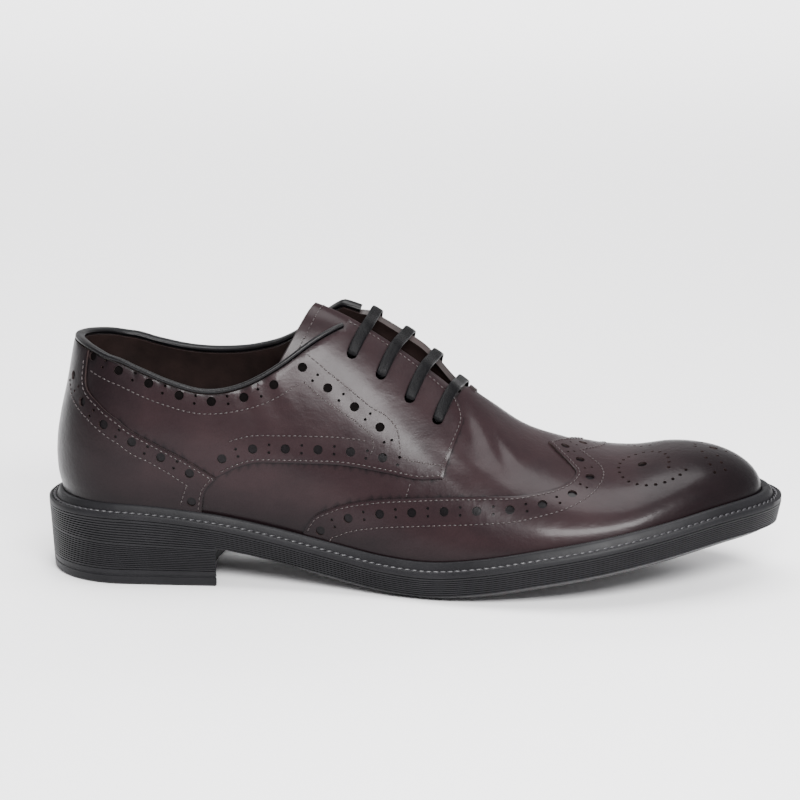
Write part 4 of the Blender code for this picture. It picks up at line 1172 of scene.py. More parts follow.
# Middle of the rows of holes at the collar, the counter and the facing, as share of the
# length and way up, and the counter's last hole
COLLAR_ROW = [(0.082, 0.450), (0.107, 0.420), (0.138, 0.395), (0.169, 0.371), (0.202, 0.352),
              (0.234, 0.346), (0.269, 0.363), (0.299, 0.390), (0.329, 0.444)]
COUNTER_ROW = [(0.056, 0.373), (0.073, 0.317), (0.091, 0.276), (0.107, 0.241), (0.131, 0.211),
               (0.163, 0.181), (0.193, 0.157), (0.226, 0.122)]
COUNTER_LAST = (0.212, 0.062)
FACING_ROW = [(0.358, 0.509), (0.389, 0.470), (0.422, 0.446), (0.453, 0.425), (0.471, 0.400),
              (0.476, 0.370), (0.475, 0.345)]

EYELETS_CUT = [round_hole(place, EYELET_RADIUS, EYELET_SIDES)
               for side in (-1.0, 1.0) for place in eyelet_places(side)]


def side_row(line, distance, side, **spacing):
    """A row beside a line that runs to the toe, above it for a positive distance."""
    return punched_row(beside(line, distance * -side), **spacing)


print("eyelets:", len(EYELETS_CUT))

# %% [markdown]
# ## Wing cap
# The cap covers the toe and runs back in two wings along the welt. It is cut from the whole
# outline by one line that goes up the outer side, over the peak and down the inner side. Its
# row of holes is walked from each wing's end to the peak, so the two sides meet there.

# %% Wing cap
EDGE_TRIM = 4


def wing_region():
    """All that lies before the cap's edge."""
    return wing_line() + [(FAR, 2.0), (FAR, -2.0)]


def wing_holes():
    """The row inside the cap's edge, mirrored about the peak."""
    line = wing_line()
    half = len(line) // 2
    loops = []
    for part in (line[EDGE_TRIM:half], line[half:-EDGE_TRIM][::-1]):
        sign = 1.0 if part[0][1] < 0 else -1.0
        inner = beside(part, -ROW_INSET * sign)
        loops += punched_row(inner, start=0.003, stop=0.002)
    return loops


print("points on the cap's edge:", len(wing_line()))

# %% [markdown]
# ## Medallion
# The toe carries a punched figure: two curls that turn away from each other, with a large hole
# in each, and rows of small holes between them. Half of it is drawn, and both sides use it.

# %% Medallion on the toe
# One swirl, its large hole, two arms and the middle, as share of the length and way up
SWIRL = [(0.847, 0.660), (0.847, 0.760), (0.842, 0.850), (0.830, 0.915), (0.815, 0.940),
         (0.799, 0.905), (0.786, 0.840), (0.780, 0.750), (0.783, 0.670), (0.792, 0.600),
         (0.808, 0.545), (0.828, 0.508), (0.846, 0.512), (0.860, 0.550), (0.874, 0.640)]
SWIRL_HOLE = (0.812, 0.765)
ARMS = [(0.882, 0.975), (0.891, 0.877), (0.896, 0.771), (0.901, 0.671), (0.907, 0.565),
        (0.911, 0.836), (0.916, 0.722), (0.921, 0.614)]
MIDDLE_HOLES = [(0.923, 1.000), (0.936, 1.000)]
MIDDLE_BIG = (0.906, 1.000)
SWIRL_PITCH = 0.00375
DOT_HOLE = 0.00075


def on_side(place, side):
    """A place on the form, from its share of the length and its way up."""
    return place[0] * SOLE_LENGTH, side * (1 - place[1])


def medallion_holes():
    """The traditional swirls and arms, mirrored about the toe's middle line."""
    loops = [round_hole(on_side(MIDDLE_BIG, 1.0), BIG_HOLE, BIG_SIDES)]
    loops += [round_hole(on_side(place, 1.0), DOT_HOLE, SMALL_SIDES) for place in MIDDLE_HOLES]
    for side in (-1.0, 1.0):
        line = seam(SWIRL, side, SEAM_POINTS, 0.0)
        dots = places_at(line, np.arange(0, true_length(line), SWIRL_PITCH))
        dots += [on_side(place, side) for place in ARMS]
        loops += [round_hole(place, DOT_HOLE, SMALL_SIDES) for place in dots]
        loops.append(round_hole(on_side(SWIRL_HOLE, side), BIG_HOLE, BIG_SIDES))
    return loops


wing_cut = wing_holes() + medallion_holes()
print("holes in the cap:", len(wing_cut))
flat, faces = cut_flat(OUTLINE, wing_region(), wing_cut)
laid("wing_cap", flat, faces, OVERLAY, -SUNK)

# %% [markdown]
# ## Quarters
# The quarters are the two sides of the shoe. Each runs from the back seam to the throat, where
# its facing carries four eyelets, and its lower edge sweeps over the vamp. Both come from one
# loop, with the side as a sign. What the counter covers gets painted shade, so the counter's
# holes look deep.

# %% Quarters with their facings
def counter_region(side):
    """All that lies behind the counter's seam on one side."""
    line = counter_seam(side)
    return line + [(line[-1][0], side * 2), (-FAR, side * 2), (-FAR, 0.0), (line[0][0], 0.0)]


def quarter_region(side):
    """All that lies above the quarter's lower edge and behind its front."""
    line = quarter_seam(side)
    back = counter_foot(side)
    return (line + [(line[-1][0], 0.0), (-FAR, 0.0), (-FAR, side * 2), (back[-1][0], side * 2)]
            + back[::-1][:-1])


def quarter_holes(side):
    """Rows along the collar, the facing and the quarter's lower edge, and the eyelets."""
    loops = [hole for hole in EYELETS_CUT if hole[0][1] * side > 0]
    loops += punched_row(seam(COLLAR_ROW, side, SEAM_POINTS), start=0.0, stop=0.0)
    loops += punched_row(seam(FACING_ROW, side, SEAM_POINTS), start=0.0, stop=0.0)
    low_edge = seam(QUARTER_LOW, side, SEAM_POINTS)
    loops += side_row(low_edge, ROW_INSET, side, start=0.006, stop=0.012)
    return loops


for side, name in ((-1.0, "quarter_outer"), (1.0, "quarter_inner")):
    cut = quarter_holes(side)
    print(name, "holes:", len(cut))
    flat, faces = cut_flat(OUTLINE, quarter_region(side), cut)
    # The counter's region gets painted shade on the quarter
    laid(name, flat, faces, OVERLAY, -SUNK, LINING, shade_regions=[counter_region(side)])

# %% [markdown]
# ## Counters
# A counter wraps the back of the heel on each side. It is the third layer there, so it is laid
# two thicknesses above the last, with one row of holes that ends in a single large hole.

# %% Counters round the heel
def counter_holes(side):
    """The row inside the counter's edge, and its last hole."""
    share, up = COUNTER_LAST
    last = round_hole((share * SOLE_LENGTH, side * (1 - up)), BIG_HOLE, BIG_SIDES)
    return punched_row(seam(COUNTER_ROW, side, SEAM_POINTS), start=0.0, stop=0.0) + [last]


for side, name in ((-1.0, "counter_outer"), (1.0, "counter_inner")):
    flat, faces = cut_flat(OUTLINE, counter_region(side), counter_holes(side))
    laid(name, flat, faces, 2 * OVERLAY, OVERLAY - SUNK)

# %% [markdown]
# ## Vamp and lining
# One shell is the vamp on its outside and the lining on its inside. It lies under every other
# panel and shows through their holes, so painted shade darkens it there: a matt black painted
# shadow under the toe's figure and under the rows at the collar and the facings, and a
# near-black painted shade under the rest of the panels.

# %% Vamp and lining
# Shares of the way up above which the shell has the matt black painted shadow, at the facing
# and at the collar, shares of the length at which the one goes over to the other and both end,
# and the share from which the toe has the painted shadow all over
DARK_FROM = 0.325
DARK_AT_COLLAR = 0.295
COLLAR_PART = 0.27
DARK_TO = 0.53
DARK_TOE = 0.765
# Painted shadow zones, matt black, and painted shade zones, near-black, on the shell under other
# panels
TOE_ZONE = [(DARK_TOE * SOLE_LENGTH, -2.0), (FAR, -2.0), (FAR, 2.0), (DARK_TOE * SOLE_LENGTH, 2.0)]
SHADOW_ZONES = [TOE_ZONE]
SHADE_ZONES = [wing_region()]
for side in (-1.0, 1.0):
    at_collar = side * (1 - DARK_AT_COLLAR)
    at_facing = side * (1 - DARK_FROM)
    step = COLLAR_PART * SOLE_LENGTH
    end = DARK_TO * SOLE_LENGTH
    SHADOW_ZONES.append([(-FAR, at_collar), (step, at_collar), (step, at_facing), (end, at_facing),
                   (end, 0.0), (-FAR, 0.0)])
    SHADE_ZONES.append(quarter_region(side))
flat, faces = cut_flat(OUTLINE, None, EYELETS_CUT)
shell = laid("vamp_and_lining", flat, faces, 0.0, -WALL, LINING, shadow_regions=SHADOW_ZONES, shade_regions=SHADE_ZONES)
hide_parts("upper")

# %% [markdown]
# ## Stitches
# Each seam is sewn with a waxed thread whose stitches catch the light as small beads. A stitch
# is one short spindle, and a whole row is a single mesh: numpy works out the corners of all of
# them at once, which is much faster than a thousand objects.

# %% Sew rows of stitches
STITCH_PITCH = 0.00215
STITCH_REACH = 0.00082
STITCH_RADIUS = 0.00026
STITCH_RISE = 0.00010
EDGE_STITCH = 0.0013
BAND_STITCH = 0.0112
SHORTEST_STEP = 1e-7

# Columns: share of the way along one stitch, from -1 to 1, and its thickness
SPINDLE = [(-1.00, 0.30), (-0.60, 0.90), (0.00, 1.00), (0.60, 0.90), (1.00, 0.30)]
SPINDLE_SIDES = 6


def strips(count, pairs):
    """Quads between pairs of rings that have the same number of points."""
    return [(low * count + i, low * count + (i + 1) % count,
             high * count + (i + 1) % count, high * count + i)
            for low, high in pairs for i in range(count)]


def one_after_another(number):
    """Each of a number of rings with the next one."""
    return list(zip(range(number - 1), range(1, number)))


def spindles(name, centres, ways, ups, reach, radius, material, slot):
    """One mesh of many stitches, each with its own middle, direction and up side."""
    centres, ways, ups = (np.array(a) for a in (centres, ways, ups))
    across = np.cross(ways, ups)
    points = []
    for t, thick in SPINDLE:
        for k in range(SPINDLE_SIDES):
            turn = 2 * math.pi * k / SPINDLE_SIDES
            reach_out = across * math.cos(turn) + ups * math.sin(turn)
            sink = ups * (1 - thick) * radius
            points.append(centres + ways * reach * t + reach_out * radius * thick - sink)
    count = len(centres)
    vertices = np.stack(points, 1).reshape(-1, 3)
    ring = SPINDLE_SIDES
    one = strips(ring, one_after_another(len(SPINDLE)))
    ends = [tuple(range(ring))[::-1], tuple(range(len(points) - ring, len(points)))]
    faces = [tuple(i * len(points) + c for c in face) for i in range(count) for face in one + ends]
    mesh = bpy.data.meshes.new(name)
    mesh.from_pydata(vertices.tolist(), [], faces)
    mesh.shade_smooth()
    mesh.materials.append(material)
    print(name, "stitches:", count)
    return dressed(name, mesh)


def sewn(name, rows):
    """Rows of stitches on the leather, each a line of places and the level it lies on."""
    centres, ways, ups = [], [], []
    for line, level in rows:
        at = np.arange(STITCH_PITCH / 2, true_length(line), STITCH_PITCH)
        here = np.array(places_at(line, at))
        ahead = np.array(places_at(line, at + TRUE_STEP))
        points = on_last(here[:, 0], here[:, 1], np.full(len(here), level + STITCH_RISE))
        further = on_last(ahead[:, 0], ahead[:, 1], np.full(len(here), level + STITCH_RISE))
        way = further - points
        size = np.linalg.norm(way, axis=1)
        good = size > SHORTEST_STEP
        centres.extend(points[good])
        ways.extend(way[good] / size[good, None])
        ups.extend(outward(here[:, 0], here[:, 1])[good])
    return spindles(name, centres, ways, ups, STITCH_REACH, STITCH_RADIUS, THREAD, "leather")


# Stitch lines of the quarter, as share of the length and way up
VAMP_SEAM = [(0.506, 0.284), (0.504, 0.265), (0.502, 0.246), (0.500, 0.227)]
COUNTER_BAND = [(0.047, 0.357), (0.057, 0.322), (0.070, 0.292), (0.084, 0.265), (0.112, 0.206),
                (0.130, 0.179), (0.157, 0.157), (0.177, 0.138), (0.206, 0.106)]
COUNTER_END = [(0.206, 0.106), (0.202, 0.081), (0.197, 0.051)]
COLLAR_BAND = [(0.081, 0.403), (0.117, 0.365), (0.170, 0.325), (0.224, 0.308), (0.270, 0.327),
               (0.316, 0.376), (0.352, 0.445)]
FACING_LOW = [(0.360, 0.463), (0.383, 0.430), (0.409, 0.409), (0.437, 0.392), (0.454, 0.365),
              (0.456, 0.346), (0.453, 0.325)]
FACING_HIGH = [(0.363, 0.560), (0.395, 0.517), (0.422, 0.490), (0.449, 0.468), (0.476, 0.457),
               (0.486, 0.435), (0.490, 0.390), (0.492, 0.352)]
FACING_CORNER = [(0.492, 0.352), (0.505, 0.354), (0.518, 0.363), (0.531, 0.373), (0.546, 0.387)]

# How many points at a line's start or end are left out, because another panel hides them or
# the next row has them too
COUNTER_HIDDEN = 12
LOW_HIDDEN = 2
BAND_FIRST = 8
BAND_LAST = 52
SHARED = 1
PEAK_HIDDEN = 6


def straight(table, side):
    """A line through a table's points, without a curve."""
    return [(share * SOLE_LENGTH, side * (1 - up)) for share, up in table]


def upper_seams():
    """All the rows of stitches on the upper, cut off where a row runs under another panel."""
    rows = []
    for side in (-1.0, 1.0):
        up = -side
        counter = counter_seam(side)
        rows.append((beside(counter, -EDGE_STITCH * up)[COUNTER_HIDDEN:], 2 * OVERLAY))
        rows.append((straight(VAMP_SEAM, side), 0.0))
        rows.append((seam(COUNTER_BAND, side, SEAM_POINTS), 2 * OVERLAY))
        rows.append((straight(COUNTER_END, side), 2 * OVERLAY))
        low_edge = seam(QUARTER_LOW, side, SEAM_POINTS)
        front = seam(QUARTER_FRONT, side, FRONT_POINTS)
        rows.append((beside(low_edge, EDGE_STITCH * up)[LOW_HIDDEN:], OVERLAY))
        rows.append((beside(low_edge, BAND_STITCH * up)[BAND_FIRST:BAND_LAST], OVERLAY))
        rows.append((beside(front, EDGE_STITCH * up)[SHARED:], OVERLAY))
        rows.append((beside(throat(side), -EDGE_STITCH * up), OVERLAY))
        for table in (COLLAR_BAND, FACING_LOW, FACING_HIGH, FACING_CORNER):
            rows.append((seam(table, side, SEAM_POINTS), OVERLAY))
    wing = wing_line()
    half = len(wing) // 2
    for part, up in ((wing[EDGE_TRIM:half], 1.0), (wing[half:-EDGE_TRIM][::-1], -1.0)):
        rows.append((beside(part, -EDGE_STITCH * up)[:-SHARED], OVERLAY))
        rows.append((beside(part, -BAND_STITCH * up)[:-PEAK_HIDDEN], OVERLAY))
    return rows


sewn("upper_stitches", upper_seams())

# %% [markdown]
# ## Sole, heel and welt
# The sole is moulded black rubber. Its side is ribbed all round, finer at the forefoot, and
# the heel carries on the same ribs down to its top lift. Each solid is a stack of rings, so
# the same plan function draws them all, and a short rule sets the grooves: a groove is four
# rings, of which the middle two are drawn in.

# %% Rings round the sole
HEEL_STEPS = 26
FLANK_STEPS = 130
TOE_STEPS = 64

# Shares of the way down between which the grooves lie, and one groove as columns: share of
# its pitch, share of its depth
GROOVES_START = 0.06
GROOVES_STOP = 0.96
GROOVE = [(0.30, 0.0), (0.42, 1.0), (0.58, 1.0), (0.70, 0.0)]


def stations():
    """Angle round the heel, place along the flank and angle round the toe, in order."""
    heel = [("heel", a) for a in np.linspace(0, math.pi / 2, HEEL_STEPS + 1)]
    flank = [("flank", x) for x in np.linspace(HEEL_X, TOE_X, FLANK_STEPS + 1)[1:]]
    toe = [("toe", a) for a in np.linspace(0, math.pi / 2, TOE_STEPS + 1)[1:]]
    return heel + flank + toe


STATIONS = stations()


def placed(outline, height):
    """Lift a plan's points to the height at each place."""
    return [(x - MIDDLE_X, y, float(height(x))) for x, y in outline]


def ring(points):
    """Round the plan: the outer side from back to tip, then the inner side back again."""
    outer = points(-1.0)
    inner = points(1.0)
    return outer + inner[-2:0:-1]


def plan_point(station, side, back, flank, tip):
    """A point of the sole's plan, drawn in by a margin at the back, flank and tip."""
    kind, value = station
    tip_x = SOLE_LENGTH - tip
    if kind == "heel":
        x = HEEL_X - (HEEL_X - back) * math.cos(value)
        width = (flank_width(HEEL_X, side) - flank) * math.sin(value)
    elif kind == "flank":
        x = value
        width = flank_width(x, side) - flank
    else:
        x = TOE_X + (tip_x - TOE_X) * math.sin(value)
        round_off = max(0.0, 1 - math.sin(value) ** TOE_POWER) ** (1 / TOE_POWER)
        width = (flank_width(x, side) - flank) * round_off
    return float(x), float(side * width + middle_line(x))


def sole_ring(depth, height, inset=0.0):
    """A ring round the sole's side, drawn in as it goes down from its upper edge."""
    back = BACK_SLOPE * depth + inset
    flank = FLANK_SLOPE * depth + inset
    tip = TOE_SLOPE * depth + inset

    def points(side):
        return placed([plan_point(s, side, back, flank, tip) for s in STATIONS], height)

    return ring(points)


def loft(rings):
    """Faces between rings of equal length, closed by a ladder across the first and last."""
    count = len(rings[0])
    vertices = [point for one in rings for point in one]
    polygons = strips(count, one_after_another(len(rings)))
    polygons.extend(ladder(0, count))
    polygons.extend(ladder((len(rings) - 1) * count, count))
    return vertices, polygons


def ladder(start, count):
    """Rungs across a ring that goes out along one side and back along the other."""
    half = count // 2
    rungs = []
    for i in range(half):
        back = (count - i) % count
        quad = [start + i, start + i + 1, start + (count - i - 1) % count, start + back]
        rungs.append(tuple(dict.fromkeys(quad)))
    return rungs


def tube(rings):
    """A solid through rings of equal length, with flat ends."""
    count = len(rings[0])
    vertices = [p for one in rings for p in one]
    polygons = strips(count, one_after_another(len(rings)))
    polygons.append(tuple(range(count)))
    polygons.append(tuple(range(len(vertices) - count, len(vertices))))
    return vertices, polygons


def add_piece(name, vertices, polygons, material, slot, angle=SHARP_DEGREES):
    """Make one closed object with outward faces, and ride it on the shoe."""
    mesh = bpy.data.meshes.new(name)
    work = bmesh.new()
    made = [work.verts.new(tuple(float(c) for c in v)) for v in vertices]
    for polygon in polygons:
        corners = [made[i] for i in dict.fromkeys(polygon)]
        if len(corners) > 2:
            work.faces.new(corners)
    bmesh.ops.remove_doubles(work, verts=work.verts, dist=2 * SNAP)
    bmesh.ops.recalc_face_normals(work, faces=work.faces)
    work.to_mesh(mesh)
    work.free()
    mesh.materials.append(material)
    mesh.shade_smooth()
    mesh.set_sharp_from_angle(angle=math.radians(angle))
    print(name, "faces:", len(mesh.polygons))
    return dressed(name, mesh)


def groove_rows(count):
    """Shares of the way down, with the share of a groove's depth at each."""
    rows = [(0.0, 0.0)]
    pitch = (GROOVES_STOP - GROOVES_START) / count
    for number in range(count):
        top = GROOVES_START + number * pitch
        rows += [(top + share * pitch, depth) for share, depth in GROOVE]
    return rows + [(1.0, 0.0)]


print("stations along one side:", len(STATIONS))

# %% Outsole
SIDE_GROOVE = 0.00042
SOLE_GROOVES = 8
HEEL_GROOVES = 12
BEVEL_ROUND = 0.0007
BEVEL_START = 0.1
RUBBER_BLACK = (0.0060, 0.0058, 0.0066)
RUBBER_DARK = (0.0045, 0.0044, 0.0052)
RUBBER_LIGHT = (0.0085, 0.0082, 0.0094)


def black_rubber():
    """Black with a faint uneven tone and shine, and a fine skin in the bump."""
    made, tree, shader = new_material("black satin rubber", RUBBER_BLACK, 0.46)
    shader.inputs["Specular IOR Level"].default_value = 0.15
    cloud = noise(tree, 60.0, 4.0, 0.6)
    tone = ramp(tree, cloud, [(0.30, RUBBER_DARK), (0.75, RUBBER_LIGHT)])
    tree.links.new(tone, shader.inputs["Base Color"])
    uneven_shine(tree, shader, noise(tree, 140.0, 4.0, 0.6), 0.38, 0.56)
    bumped(tree, shader, [(noise(tree, 1100.0, 4.0, 0.6), 0.35, 0.00022)])
    return made


RUBBER = black_rubber()


def bevel_start(x):
    """The height at which the bevel's small rounding ends."""
    return side_foot(x) + BEVEL_START * (tread_height(x) - side_foot(x))


def build_outsole():
    """Rings down the grooved side, over the bevel and onto the tread."""
    rows = []
    for share, groove in groove_rows(SOLE_GROOVES):
        def height(x, share=share):
            high = foot_height(x) - GAP
            return high + (side_foot(x) - high) * share
        rows.append(sole_ring(share * SIDE_HEIGHT, height, SIDE_GROOVE * groove))
    rows.append(sole_ring(SIDE_HEIGHT, bevel_start, BEVEL_ROUND))
    rows.append(sole_ring(SIDE_HEIGHT, tread_height, BEVEL_WIDTH))
    return loft(rows)


outsole = add_piece("ribbed_outsole", *build_outsole(), RUBBER, "sole_rubber")
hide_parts("outsole")

# %% [markdown]
# ## Heel
# A heel is a block of layers with a top lift that meets the floor, and its front, the breast,
# is hollow so that it grips. It is a stack of plans like the sole, from the tilted seat down
# to the flat floor, and the lift has a fine line of its own.

# %% Heel
BREAST_STEPS = 24
HEEL_FLANK_STEPS = 24
LIFT_CHAMFER = 0.0008

# The lift's line as columns: share of the way down, share of a groove's depth
LIFT_LINE = [(0.30, 0.0), (0.34, 0.7), (0.40, 0.7), (0.44, 0.0)]


def heel_outline(depth, inset=0.0):
    """Plan of the heel: round the back, along both flanks and across the hollow breast."""
    back = BACK_SLOPE * depth + inset
    flank = FLANK_SLOPE * depth + inset
    sides = []
    for side in (-1.0, 1.0):
        run = [("heel", a) for a in np.linspace(0, math.pi / 2, 2 * HEEL_STEPS + 1)]
        places = np.linspace(HEEL_X, HEEL_LENGTH - inset, HEEL_FLANK_STEPS + 1)
        run += [("flank", x) for x in places[1:]]
        sides.append([plan_point(s, side, back, flank, 0.0) for s in run])
    outer, inner = sides
    start, end = outer[-1], inner[-1]
    breast = []
    for t in np.linspace(0, 1, BREAST_STEPS + 1)[1:-1]:
        bow = BREAST_HOLLOW * 4 * t * (1 - t)
        breast.append((start[0] - bow, start[1] + (end[1] - start[1]) * t))
    return outer + breast + inner[:0:-1]


def build_heel_stack():
    """The block between the seat and the top lift, with grooves all the way down."""
    rows = []
    for share, groove in groove_rows(HEEL_GROOVES):
        def height(x, share=share):
            high = seat_height(x) - GAP
            return high + (LIFT_THICKNESS + GAP - high) * share
        depth = SIDE_HEIGHT + share * (edge_height(0.0) - SIDE_HEIGHT - LIFT_THICKNESS)
        rows.append(placed(heel_outline(depth, SIDE_GROOVE * groove), height))
    return tube(rows)


def build_top_lift():
    """The layer of the heel that meets the floor, with a fine line round it."""
    full = edge_height(0.0)
    rows = [placed(heel_outline(full - LIFT_THICKNESS), lambda x: LIFT_THICKNESS)]
    for share, groove in LIFT_LINE:
        height = LIFT_THICKNESS * (1 - share)
        outline = heel_outline(full - height, SIDE_GROOVE * groove)
        rows.append(placed(outline, lambda x, h=height: h))
    rows.append(placed(heel_outline(full), lambda x: LIFT_CHAMFER))
    rows.append(placed(heel_outline(full, LIFT_CHAMFER), lambda x: 0.0))
    return tube(rows)


heel_stack = add_piece("ribbed_heel", *build_heel_stack(), RUBBER, "sole_rubber")
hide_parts("heel_stack")
top_lift = add_piece("top_lift", *build_top_lift(), RUBBER, "sole_rubber")
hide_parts("heel_top_lift")

# %% [markdown]
# ## Welt
# A storm welt closes the joint between upper and sole: from the sole's edge it lies flat with
# a row of stitches, and then rises in a rib against the leather. It is one band with this
# profile, which runs between the sole's edge and the upper all the way round.

# %% Welt
# Columns: share of the way in from the sole's edge to the upper, share of the rise
WELT_PROFILE = [
    (0.00, 0.00),
    (0.05, 0.10),
    (0.12, 0.14),
    (0.18, 0.02),
    (0.36, 0.02),
    (0.42, 0.30),
    (0.50, 0.74),
    (0.58, 0.95),
    (0.68, 1.00),
    (0.78, 0.95),
    (0.88, 0.82),
    (1.00, 0.80),
]
WELT_TUCK = 0.0004
RISE_STOP = 0.8725


def rise_to(thickness):
    """The share of the way up at which the form is this far above its foot."""
    def up(p):
        crown = float(form(max(p, HEEL_X), 0.0)[2]) - float(form(max(p, HEEL_X), 1.0)[2])
        return min(RISE_STOP, math.asin(min(1.0, thickness / max(crown, GAP))) * 2 / math.pi)
    return up


def station_p(station):
    """The place along the form that belongs to a station."""
    kind, value = station
    if kind == "heel":
        return HEEL_X - (HEEL_X - BACK_X) * (1 - value / (math.pi / 2))
    if kind == "flank":
        return value
    return TOE_X + (TIP_X - TOE_X) * math.sin(value)


def upper_ring(up, offset):
    """A ring round the upper's foot, at a share of the way up and an offset from the form."""
    def points(side):
        found = []
        for station in STATIONS:
            p = station_p(station)
            depth = offset(p) if callable(offset) else offset
            found.append(tuple(on_form(p, side * (1 - up(p)), depth)))
        return found
    return ring(points)


def build_welt():
    """The welt's rows: its floor at the upper, the sole's edge, and the profile between."""
    foot = upper_ring(lambda p: 0.0, GAP - WELT_TUCK)
    inner = upper_ring(rise_to(WELT_EDGE + WELT_RISE * WELT_PROFILE[-1][1]), GAP - WELT_TUCK)
    outer = sole_ring(0.0, foot_height)
    rows = [[(x, y, float(foot_height(x + MIDDLE_X))) for x, y, z in foot], outer]
    for share, rise in WELT_PROFILE:
        row = []
        for (ax, ay, _), (bx, by, _) in zip(outer, inner):
            x = ax + (bx - ax) * share
            y = ay + (by - ay) * share
            row.append((x, y, float(edge_height(x + MIDDLE_X)) + WELT_RISE * rise))
        rows.append(row)
    return rows


def band(rows):
    """A closed band through rings, from the last one back to the first."""
    vertices = [point for row in rows for point in row]
    pairs = one_after_another(len(rows)) + [(len(rows) - 1, 0)]
    return vertices, strips(len(rows[0]), pairs)


welt_rows = build_welt()
welt = add_piece("storm_welt", *band(welt_rows), RUBBER, "sole_rubber", 50)
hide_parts("welt")

# %% [markdown]
# ## Welt stitches
# A thick thread holds the welt to the sole, and shows as a twisted row in the welt's flat part.
# Each stitch is a spindle again, thicker than those of the upper and turned a little aslant.

# %% Welt stitches
WELT_PITCH = 0.0030
WELT_STITCH_REACH = 0.00165
WELT_STITCH_RADIUS = 0.00048
WELT_SLANT = 0.35
WELT_STITCH_ROW = 0.27
WELT_STITCH_RISE = 0.00035
WELT_THREAD_BLACK = (0.020, 0.019, 0.022)


def welt_stitches():
    """Slanting stitches in the flat part of the welt, all the way round."""
    first = np.array(welt_rows[2])
    last = np.array(welt_rows[-1])
    middle = first + (last - first) * WELT_STITCH_ROW
    middle = np.vstack([middle, middle[:1]])
    run = run_along(middle)
    at = np.arange(0, run[-1] - WELT_PITCH / 2, WELT_PITCH)
    centres = read_at(at, run, middle)
    centres[:, 2] = [edge_height(x + MIDDLE_X) + WELT_STITCH_RISE for x in centres[:, 0]]
    ways = read_at(at + TRUE_STEP, run, middle) - centres
    ways[:, 2] = 0
    ways = unit(ways)
    up = np.tile([0.0, 0.0, 1.0], (len(at), 1))
    return centres, unit(ways + np.cross(up, ways) * WELT_SLANT), up


WELT_THREAD = plain_finish("black welt thread", WELT_THREAD_BLACK, 0.36, 2600.0, 0.00010)
spindles("welt_stitches", *welt_stitches(), WELT_STITCH_REACH, WELT_STITCH_RADIUS, WELT_THREAD, "cord")

# %% [markdown]
# ## Insole
# The insole is the floor of the shoe and shows only through the collar. It is a plate between
# two rings that follow the inside of the upper, with a little room at the toe.

# %% Insole
INSOLE_THICKNESS = 0.0030
INSOLE_TOE_ROOM = 0.0040
INSOLE_TOE_POWER = 8


def build_insole():
    """The footbed, a close fit in the upper, with a little room at the toe."""
    def margin(p):
        part = max(0.0, (p - TOE_X) / (TIP_X - TOE_X))
        room = INSOLE_TOE_ROOM * part ** INSOLE_TOE_POWER
        return -(WALL + GAP + room)

    low = upper_ring(lambda p: 0.0, margin)
    high = upper_ring(rise_to(INSOLE_THICKNESS), margin)
    flat = [(x, y, float(foot_height(x + MIDDLE_X)) + INSOLE_THICKNESS) for x, y, z in high]
    floor = [(x, y, float(foot_height(x + MIDDLE_X))) for x, y, z in low]
    return loft([floor, flat])


insole = add_piece("insole_sock", *build_insole(), LINING, "lining")
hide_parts("insole")

# %% [markdown]
# ## Tongue
# The tongue is a soft leather sheet that runs down under the facings. It is a grid on the same
# form, pushed in far enough to leave room for the lace, and its way in turns evenly from side
# to side, so that the sheet doesn't fold where the form is sharp. One row of stitches follows
# its edge.

# %% Tongue
TONGUE_THICKNESS = 0.0024
TONGUE_ROOM = 0.0006
LACE_ROOM = 0.0022
TONGUE_HALF = 0.52
TONGUE_FRONT = 0.600
TONGUE_STEPS = 64
# Columns: share across the tongue, share of the length at its top edge
TONGUE_TOP = [(0.00, 0.322), (0.12, 0.341), (0.30, 0.361), (0.50, 0.372), (0.70, 0.368),
              (1.00, 0.357)]
TONGUE_ROUND = 0.35
TONGUE_RIM_STEP = 0.4
TONGUE_RIM_SIDE = 0.995


def sheet(top, bottom):
    """A closed solid between two grids of the same shape."""
    rows, columns = len(top), len(top[0])
    vertices = [p for row in top for p in row] + [p for row in bottom for p in row]
    lower = rows * columns
    polygons = []
    for i in range(rows - 1):
        for j in range(columns - 1):
            a = i * columns + j
            quad = (a, a + 1, a + columns + 1, a + columns)
            polygons.append(quad)
            polygons.append(tuple(lower + k for k in reversed(quad)))
    border = list(range(columns - 1))
    border += [i * columns + columns - 1 for i in range(rows - 1)]
    border += [(rows - 1) * columns + j for j in range(columns - 1, 0, -1)]
    border += [i * columns for i in range(rows - 1, 0, -1)]
    for a, b in zip(border, border[1:] + border[:1]):
        polygons.append((b, a, lower + a, lower + b))
    return vertices, polygons


def tongue_way(p, across):
    """The way out through the tongue, which turns evenly from one side to the other."""
    outer = outward(p, np.full_like(p, -TONGUE_HALF))
    inner = outward(p, np.full_like(p, TONGUE_HALF))
    edge = np.where((across < 0)[:, None], outer, inner)
    lean = outward(p, np.zeros_like(p))[:, 0] * (1 - across ** 2) + edge[:, 0] * across ** 2
    first = np.arctan2(outer[:, 1], outer[:, 2])
    last = np.arctan2(inner[:, 1], inner[:, 2])
    turn = first + (last - first) * 0.5 * (1 + across)
    rest = np.sqrt(1 - lean ** 2)
    return np.stack([lean, rest * np.sin(turn), rest * np.cos(turn)], 1)


def tongue_places(ahead, across, depth):
    """Points of the tongue: ahead runs 0 to 1 from its foot to its top edge."""
    ahead, across, depth = (np.asarray(value, float) for value in (ahead, across, depth))
    reach = curve(TONGUE_TOP, 0.5 + 0.5 * across)
    p = (TONGUE_FRONT + (reach - TONGUE_FRONT) * ahead) * SOLE_LENGTH
    return form(p, TONGUE_HALF * across) - tongue_way(p, across) * depth[..., None]


